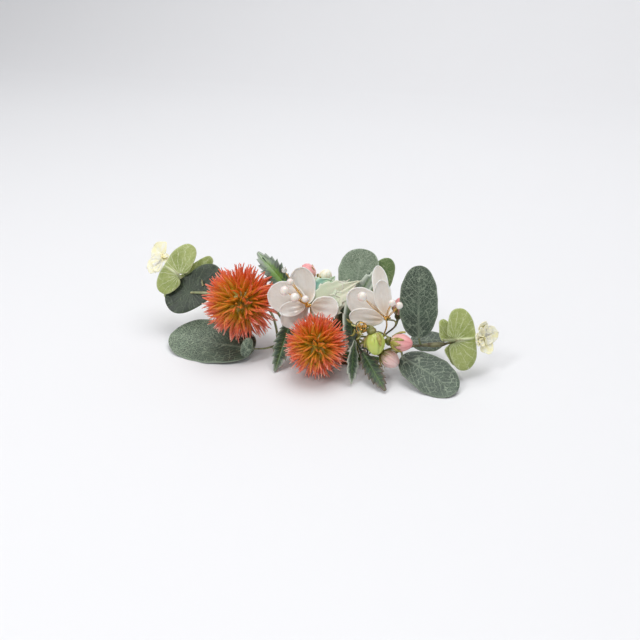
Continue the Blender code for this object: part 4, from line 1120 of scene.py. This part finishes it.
def seed_bead_tree():
    tree = Tree("seed_beads", Size=0.0006, Seed=5)
    size, seed = tree.inputs["Size"], tree.inputs["Seed"]
    bead = tree.node("GeometryNodeMeshUVSphere", {"Segments": 10, "Rings": 7, "Radius": 1.0}).outputs[0]
    scale = tree.times(size, tree.random(0.7, 1.15, seed))
    beads = tree.node("GeometryNodeInstanceOnPoints",
                      {"Points": tree.inputs["Geometry"], "Instance": bead, "Scale": scale}).outputs[0]
    return tree.finish(beads, GOLD)


def bead_cluster(name, hub, face, count, spread, seed):
    """Seed beads heaped over the flower's centre."""
    rng = np.random.default_rng(seed)
    way = unit(rng.normal(size=(count, 3)) + unit(face) * 1.2)
    mesh = bpy.data.meshes.new(name + "_points")
    mesh.from_pydata(((hub + way * spread * rng.uniform(0.75, 1.25, (count, 1))) * MM).tolist(), [], [])
    return seed_bead_tree().grow(name, mesh, "gold_wire", Size=0.00065, Seed=seed)


bead_cluster("left_seed_beads", LEFT_HUB, VIEWER, 16, 1.9, 3)
bead_cluster("right_seed_beads", RIGHT_HUB, VIEWER, 12, 1.7, 8)


# ---------------------------------------------------------------- silk blossom

def silk_blossom():
    """Dip-dyed cloth petals: each lobe of the CAD blossom becomes a ragged, creased and ruffled petal."""
    points = corners_of("silk_blossom")
    axes = np.linalg.svd(points - points.mean(0), full_matrices=False)[2]
    face = axes[2] * (1 if axes[2] @ VIEWER > 0 else -1)
    near = points[np.linalg.norm((points - LEFT_HUB) - ((points - LEFT_HUB) @ face)[:, None] * face,
                                 axis=1) < 3.0]
    hub = near.mean(0)
    east = unit(np.cross([0, 0, 1.0], face))
    north = np.cross(face, east)
    offset = points - hub
    reach = np.hypot(offset @ north, offset @ east)
    lift = np.linalg.lstsq(np.stack([np.ones_like(reach), reach**2], 1), offset @ face, rcond=None)[0]
    lobes_of = ((32, 35.5, 0.25, 0.12), (12, 26, 0.32, 0.1), (-8, 20, 0.4, 0.05), (56, 25, 0.42, 0.8),
                (112, 26, 0.5, 0.6), (165, 26, 0.45, 0.1))
    parts = []
    for count, (angle, length, broad, blue) in enumerate(lobes_of):
        centre = math.radians(angle)
        for layer, (swing, share) in enumerate(((0.0, 1.0), (0.13, 0.84), (-0.15, 0.76))):
            ray = math.cos(centre + swing) * east + math.sin(centre + swing) * north
            cross = np.cross(ray, face)
            u, v = eased(60)[:, None], np.linspace(-1, 1, 31)[None]
            seed = 1.7 * count + 2.3 * layer
            jag = 0.2 * ((5.5 * u + 0.3 * seed) % 1.0) * (u > 0.3) * np.abs(v) ** 4
            half = (broad * (1 - 0.1 * layer) * length * share
                    * (np.sin(np.pi * u**0.75) ** 0.55 * (1 - 0.25 * u) + 0.03))
            y = v * half * (1 + jag + 0.05 * np.sin(19 * u + seed))
            r = 1.1 + (length * share - 1.1) * (u * (1 - 0.16 * np.abs(v) ** 1.5 * u)
                                                + 0.035 * np.sin(9 * v + seed) * u**4)
            rise = lift[0] + lift[1] * r**2 - 0.55 * layer - 0.25 * count
            rise = rise - 0.5 * np.exp(-((v / 0.07) ** 2)) * np.sin(np.pi * u)
            rise = rise + u * (1.3 * v * v * np.sin(4.5 * u + seed) + 0.35 * np.sin(11 * v + seed) * u
                               + 0.5 * np.abs(v))
            grid = hub + r[..., None] * ray + y[..., None] * cross + rise[..., None] * face
            whole, faces, source = shell(grid.reshape(-1, 3), grid_quads(*grid.shape[:2]), SILK_THICK)
            dye = blue * (0.75 - 0.4 * v) * (1.15 - 0.45 * u) + 0.12 * (1 - u) + 0.1 * np.sin(7 * v) * blue
            marks = {"dye": (np.clip(dye, 0, 1) + 0 * y).ravel()[source],
                     "rim": np.exp(-(1 - np.abs(v)) * half / 0.7).ravel()[source]}
            parts.append((whole, faces, marks))
    points, faces, marks = gathered(parts)
    return piece("silk_blossom_cloth", points, faces, SILK, ("silk_blossom",), marks)


silk_blossom()


# ---------------------------------------------------------------- buds

def sepal_tree():
    tree = Tree("sepal_ring", Count=5, Length=0.006, Width=0.0022, Radius=0.003, Spread=0.5, Seed=2)
    count, length, width, radius, spread, seed = (tree.inputs[k] for k in tree.sizes)
    sheet = tree.node("GeometryNodeMeshGrid",
                      {"Size X": 1.0, "Size Y": 1.0, "Vertices X": 5, "Vertices Y": 10}).outputs[0]
    split = tree.node("ShaderNodeSeparateXYZ", {0: tree.node("GeometryNodeInputPosition").outputs[0]})
    share = tree.plus(split.outputs["Y"], 0.5)
    taper = tree.times(tree.math("SINE", tree.times(tree.math("POWER", share, 0.6), 3.0)), width)
    x = tree.times(split.outputs["X"], taper)
    curl = tree.times(tree.times(tree.math("SINE", tree.times(share, 1.9)), spread), length)
    hollow = tree.times(tree.times(split.outputs["X"], split.outputs["X"]), tree.times(width, -1.2))
    y = tree.plus(tree.plus(curl, hollow), radius)
    z = tree.times(share, length)
    shaped = tree.node("GeometryNodeSetPosition", {"Geometry": sheet,
        "Position": tree.node("ShaderNodeCombineXYZ", {0: x, 1: y, 2: z}).outputs[0]}).outputs[0]
    thick = tree.node("GeometryNodeExtrudeMesh", {"Mesh": shaped, "Offset Scale": 0.00022, "Individual": False},
                      mode="FACES")
    back = tree.node("GeometryNodeFlipFaces", {"Mesh": shaped}).outputs[0]
    closed = tree.node("GeometryNodeMergeByDistance",
                       {"Geometry": tree.join(thick.outputs[0], back), "Distance": 0.000005}).outputs[0]
    line = tree.node("GeometryNodeMeshLine", {"Count": count, "Offset": (0, 0, 0)}).outputs[0]
    index = tree.node("GeometryNodeInputIndex").outputs[0]
    step = tree.math("DIVIDE", 6.28318, count)
    turn = tree.plus(tree.times(index, step), tree.random(-0.18, 0.18, seed))
    tilt = tree.random(-0.12, 0.12, tree.plus(seed, 4))
    euler = tree.node("ShaderNodeCombineXYZ", {0: tilt, 1: 0.0, 2: turn}).outputs[0]
    ring = tree.node("GeometryNodeInstanceOnPoints", {"Points": line, "Instance": closed, "Rotation": euler,
        "Scale": tree.random(0.8, 1.1, tree.plus(seed, 9))}).outputs[0]
    return tree.finish(ring, SEPAL)


SEPALS = sepal_tree()


def bud(node, twig, finish, folds=5, twist=1.2, depth=0.06, sepals=7, sepal_length=0.8, spread=0.14,
        seed=1):
    """A closed bud: overlapping petals wound round it, in a ring of sepals."""
    points, wood = corners_of(node), corners_of(twig)
    gap = np.linalg.norm(wood[:, None] - points[None], axis=2).min(1)
    foot_side = wood[gap < max(1.4, gap.min() + 0.8)].mean(0)
    centre = points.mean(0)
    tip = points[((points - centre) @ unit(centre - foot_side)).argmax()]
    axis = unit(tip - centre)
    offset = points - centre
    height = offset @ axis
    radius = np.linalg.norm(offset - height[:, None] * axis, axis=1).max()
    length = np.ptp(height)
    foot = centre + axis * height.min()
    outline = [(0.0, 0.0), (0.45, 0.0), (0.8, 0.14), (0.98, 0.34), (1.0, 0.5), (0.86, 0.7), (0.6, 0.87),
               (0.3, 0.97), (0.0, 1.0)]
    line = smooth_line([(r, h, 0) for r, h in outline], 45)
    profile = [(max(r * radius, 0.02), h * length) for r, h, _ in line]
    profile[-1] = (0.05, length * 0.985)

    def ripple(turn, share):
        wound = (folds * turn / (2 * math.pi) + twist * share) % 1.0
        overlap = wound - np.exp(-((1 - wound) / 0.07))
        return 1 + depth * (0.4 + 0.9 * share) * (overlap - 0.45) + 0.02 * np.sin(folds * 3 * turn + 5 * share)

    segments = 90
    whole, faces = turned(profile, foot, axis, segments, ripple)
    turn = np.arange(segments) * 2 * math.pi / segments
    crease, high = [], []
    for i, (r, h) in enumerate(profile):
        share = i / (len(profile) - 1)
        wound = (folds * turn / (2 * math.pi) + twist * share) % 1.0
        crease.append(np.exp(-(np.minimum(wound, 1 - wound) / 0.09) ** 2) * (0.5 + 0.5 * share))
        high.append(np.full(segments, h / length))
    marks = {"crease": np.concatenate(crease + [[0.0, 1.0]]), "high": np.concatenate(high + [[0.0, 1.0]])}
    piece(node + "_petals", whole, faces, finish, (node,), marks)
    turned_up = Vector((0, 0, 1)).rotation_difference(Vector(axis)).to_matrix().to_4x4()
    place = Matrix.Translation(Vector(foot * MM)) @ turned_up
    start = bpy.data.meshes.new(node + "_sepal_start")
    start.from_pydata([(0, 0, 0)], [], [])
    SEPALS.grow(node + "_sepals", start, "plastic_stem", (), place, Count=sepals,
                Length=sepal_length * length * MM,
                Width=radius * 0.66 * MM, Radius=radius * 0.6 * MM,
                Spread=(0.46 + spread) * radius / (sepal_length * length),
                Seed=seed)
    return foot, axis, radius, length


bud("bud_back_pink", "back_bud_twig", PINK, folds=4, seed=1)
bud("bud_back_cream", "back_bud_twig", CREAM_BUD, folds=5, sepal_length=0.5, seed=2)
bud("bud_rear_pink", "rear_bud_twig", PINK, seed=3)
bud("bud_green", "front_bud_twig", GREEN, folds=4, twist=0.3, depth=0.1, sepals=8, sepal_length=0.6,
    spread=0.06, seed=4)
bud("bud_front_pink", "front_bud_twig", PINK, folds=7, twist=0.3, sepals=9, sepal_length=0.6,
    spread=0.06, seed=5)
PALE_FOOT, PALE_AXIS, PALE_RADIUS, _ = bud("bud_front_pale", "front_bud_twig", PALE_PINK, folds=7,
                                           twist=0.3, sepals=9, sepal_length=0.55, spread=0.08, seed=6)


# ---------------------------------------------------------------- small trimmings

def tufts(name, paths, thick, finish, sides=7, count=20):
    """Several loose wires or strands in one piece. thick lists the radius along each path."""
    parts = []
    for path in paths:
        line = smooth_line(path, count)
        parts.append((*tube(line, np.interp(np.linspace(0, 1, count), np.linspace(0, 1, len(thick)), thick),
                            sides), {}))
    points, faces, _ = gathered(parts)
    return piece(name, points, faces, finish)


def fringe(name, foot, axis, radius, count, reach, seed):
    """Long thin sepal strands standing out behind a bud."""
    rng = np.random.default_rng(seed)
    side = unit(np.cross(axis, [0.2, 0.5, 0.84]))
    other = np.cross(axis, side)
    paths = []
    for k in range(count):
        turn = 2 * math.pi * (k + rng.uniform(-0.3, 0.3)) / count
        out = math.cos(turn) * side + math.sin(turn) * other
        length = reach * rng.uniform(0.65, 1.1)
        start = foot - axis * 0.8 + out * radius * 0.4
        paths.append([start, foot + axis * 0.22 * length + out * radius * 1.02,
                      foot + axis * 0.5 * length + out * radius * 1.28,
                      foot + axis * 0.78 * length + out * radius * rng.uniform(1.4, 2.1)])
    return tufts(name, paths, (0.4, 0.34, 0.22, 0.06), SEPAL, 6, 14)


def coil(centre, axis, radius, turns, pitch, start=0.0, steps=9):
    """Points of a loose loop of wire round an axis."""
    side = unit(np.cross(axis, [0.2, 0.5, 0.84]))
    other = np.cross(unit(axis), side)
    angles = start + np.linspace(0, 2 * math.pi * turns, int(steps * turns) + 1)
    return [centre + radius * (math.cos(a) * side + math.sin(a) * other) + unit(axis) * pitch * a / (2 * math.pi)
            for a in angles]


def trimmings():
    green = middle_of("bud_green")
    knot = green + np.array([-9.5, 3.0, 8.0])
    tufts("gold_tinsel", [coil(knot, (0.4, -1.0, 0.3), 3.2, 1.3, 1.0),
                          coil(knot + [2.0, 0.6, -0.6], (-0.5, -0.8, 0.2), 2.1, 1.4, 0.9, 1.9),
                          coil(knot + [-1.6, 1.0, 1.4], (0.9, -0.6, 0.1), 1.8, 1.2, 1.2, 4.0)],
          (0.25, 0.42, 0.25), GOLD, 7, 60)
    bead_cluster("gold_beads", knot + [0.5, -0.8, -0.4], (0, -1, 0.4), 9, 2.0, 21)
    tufts("brown_loops", [coil(knot + [-1.2, 0.8, 0.8], (0.2, -1.0, 0.5), 2.4, 1.0, 1.2, 2.4)],
          (0.25, 0.42, 0.25), DARK_STEM, 8, 40)
    rng = np.random.default_rng(14)
    curls = []
    for k in range(9):
        place = knot + rng.normal(size=3) * (2.6, 1.2, 2.2) + [-0.6, 1.4, -1.6]
        way = unit(rng.normal(size=3) + [-0.3, -0.8, 0.1])
        curl = unit(np.cross(way, rng.normal(size=3)))
        curls.append([place, place + 2.2 * way + 0.4 * curl, place + 3.6 * way + 1.8 * curl,
                      place + 3.4 * way + 3.6 * curl])
    tufts("curled_bracts", curls[:5], (0.35, 0.75, 0.6, 0.1), SEPAL, 8, 16)
    tufts("pale_bracts", curls[5:], (0.3, 0.6, 0.5, 0.1), CREAM_BUD, 8, 16)
    end = RIGHT_HUB + np.array([0.5, -0.3, -0.6])
    tufts("dark_wire_end", [[end, end + [2.0, -0.6, 0.3], end + [4.4, -0.8, 0.2], end + [5.6, -0.9, -0.9],
                             end + [5.3, -0.9, -2.2]]],
          (0.75, 0.6, 0.5, 0.6, 0.45), DARK_STEM, 9, 26)
    # Fixed points in the part's frame, in mm: unlike the rest, these do not follow the CAD nodes.
    loops = [[(28.5, -6, 13), (29.5, -15, 24), (33, -17.5, 31), (38.5, -17, 33.5), (40.5, -18.5, 30)],
             [(27, -5, 12), (31, -14, 20), (37, -16, 22), (43, -14.5, 18.5), (46, -13.5, 15.5)],
             [(30, -4, 11), (35, -9, 23), (41, -10, 27.5), (47.5, -12, 26), (51, -13, 24.4)]]
    tufts("bud_stems", loops, (0.75, 0.6, 0.55, 0.5), TWIG, 9, 40)
    fringe("pale_bud_fringe", PALE_FOOT, PALE_AXIS, PALE_RADIUS, 15, 9.0, 3)


trimmings()


# ---------------------------------------------------------------- stems, tape, comb

def refinish(node, finish, levels=0):
    """A CAD node keeps its shape and gets its real surface."""
    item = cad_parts[node]
    item.data.materials.clear()
    item.data.materials.append(finish)
    if levels:
        weld = item.modifiers.new("weld", "WELD")
        weld.merge_threshold = 0.00001
        smooth = item.modifiers.new("smooth", "SUBSURF")
        smooth.levels = smooth.render_levels = levels


for node in ("left_stem", "back_stem", "left_ball_stem", "front_ball_stem"):
    refinish(node, STEM, 1)
refinish("right_stem", DARK_STEM, 1)
for node in ("back_bud_twig", "rear_bud_twig", "front_bud_twig"):
    refinish(node, TWIG, 1)
for node in ("left_flower_wires", "right_flower_wires"):
    refinish(node, GOLD, 1)
refinish("spine_wire", STEEL, 1)
refinish("comb_lashing", STEEL, 1)
refinish("hair_comb", COMB)


def wound_tape():
    """Paper tape wound round the spine, each turn lapping the last."""
    low, high = (np.array(corner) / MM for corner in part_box("stem_tape"))
    wire_low, wire_high = (np.array(corner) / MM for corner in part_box("spine_wire"))
    inner = (wire_high[2] - wire_low[2]) / 2 + 0.2
    outer = (high[2] - low[2]) / 2
    base = np.array([low[0], (low[1] + high[1]) / 2, (low[2] + high[2]) / 2])
    length = high[0] - low[0]
    rings, segments, lap = 260, 40, 4.2
    side, other = np.array([0, 1.0, 0]), np.array([0, 0, 1.0])
    turn = np.arange(segments) * 2 * math.pi / segments
    points = []
    for i in range(rings):
        x = length * i / (rings - 1)
        step = (x / lap + turn / (2 * math.pi)) % 1.0
        r = outer * (0.93 + 0.07 * step + 0.01 * np.sin(7 * turn + x))
        points.append(base + [x, 0, 0]
                      + r[:, None] * (np.cos(turn)[:, None] * side + np.sin(turn)[:, None] * other))
    for x in (length, 0.0):
        points.append(base + [x, 0, 0] + inner * (np.cos(turn)[:, None] * side + np.sin(turn)[:, None] * other))
    points = np.vstack(points)
    faces, total = [], rings + 2
    for i in range(total):
        for j in range(segments):
            k, n = (j + 1) % segments, (i + 1) % total
            faces.append((i * segments + j, i * segments + k, n * segments + k, n * segments + j))
    if normals_of(points, np.array(faces))[segments * 5][1] < 0:
        faces = [face[::-1] for face in faces]
    return piece("stem_tape_winding", points, faces, TAPE, ("stem_tape",))


wound_tape()


# ---------------------------------------------------------------- floor, light, camera

def studio():
    steps = np.concatenate([np.linspace(-3.0, 0.9, 20), 0.9 + 0.9 * np.sin(np.linspace(0.05, math.pi / 2, 14))])
    rows = []
    for k, y in enumerate(steps):
        z = 0.0 if y <= 0.9 else 0.9 * (1 - math.cos(math.asin(min(1.0, (y - 0.9) / 0.9))))
        rows.append((y, z))
    rows.append((1.8, 3.0))
    points = [(x, y, z) for y, z in rows for x in (-4.0, 4.0)]
    faces = [(2 * i, 2 * i + 1, 2 * i + 3, 2 * i + 2) for i in range(len(rows) - 1)]
    mesh = bpy.data.meshes.new("studio_floor")
    mesh.from_pydata(points, [], faces)
    mesh.polygons.foreach_set("use_smooth", [True] * len(mesh.polygons))
    floor = bpy.data.objects.new("studio_floor", mesh)
    bpy.context.scene.collection.objects.link(floor)
    paper = Finish("floor_paper", Roughness=0.6)
    paper.out("Base Color", paper.mix(paper.noise(3, 2), (0.80, 0.80, 0.815), (0.815, 0.815, 0.83)))
    mesh.materials.append(paper.material)

    world = bpy.data.worlds.new("studio")
    bpy.context.scene.world = world
    world.use_nodes = True
    sky = world.node_tree.nodes["Background"]
    sky.inputs["Color"].default_value = (0.97, 0.98, 1.0, 1.0)
    sky.inputs["Strength"].default_value = 0.42

    def lamp(name, place, target, size, power):
        light = bpy.data.lights.new(name, "AREA")
        light.shape = "DISK"
        light.size = size
        light.energy = power
        item = bpy.data.objects.new(name, light)
        item.location = place
        item.rotation_euler = (Vector(target) - Vector(place)).to_track_quat("-Z", "Y").to_euler()
        bpy.context.scene.collection.objects.link(item)

    lamp("overhead", (0.1, 0.35, 2.1), (0, 0, 0), 2.0, 31.0)
    lamp("window", (-0.45, -0.7, 0.95), (0, 0, 0.02), 0.32, 4.0)
    bpy.context.scene.view_settings.view_transform = "Standard"


def camera():
    data = bpy.data.cameras.new("camera")
    data.lens, data.sensor_width = 39.375, 36.0
    data.clip_start = 0.01
    item = bpy.data.objects.new("camera", data)
    azimuth, elevation, distance = math.radians(18), math.radians(28), 0.45
    back = Vector((math.sin(azimuth) * math.cos(elevation), -math.cos(azimuth) * math.cos(elevation),
                   math.sin(elevation)))
    target = Vector((0, 0, 0.024))
    item.location = target + back * distance
    item.rotation_euler = (-back).to_track_quat("-Z", "Y").to_euler()
    bpy.context.scene.collection.objects.link(item)
    bpy.context.scene.camera = item


studio()
camera()
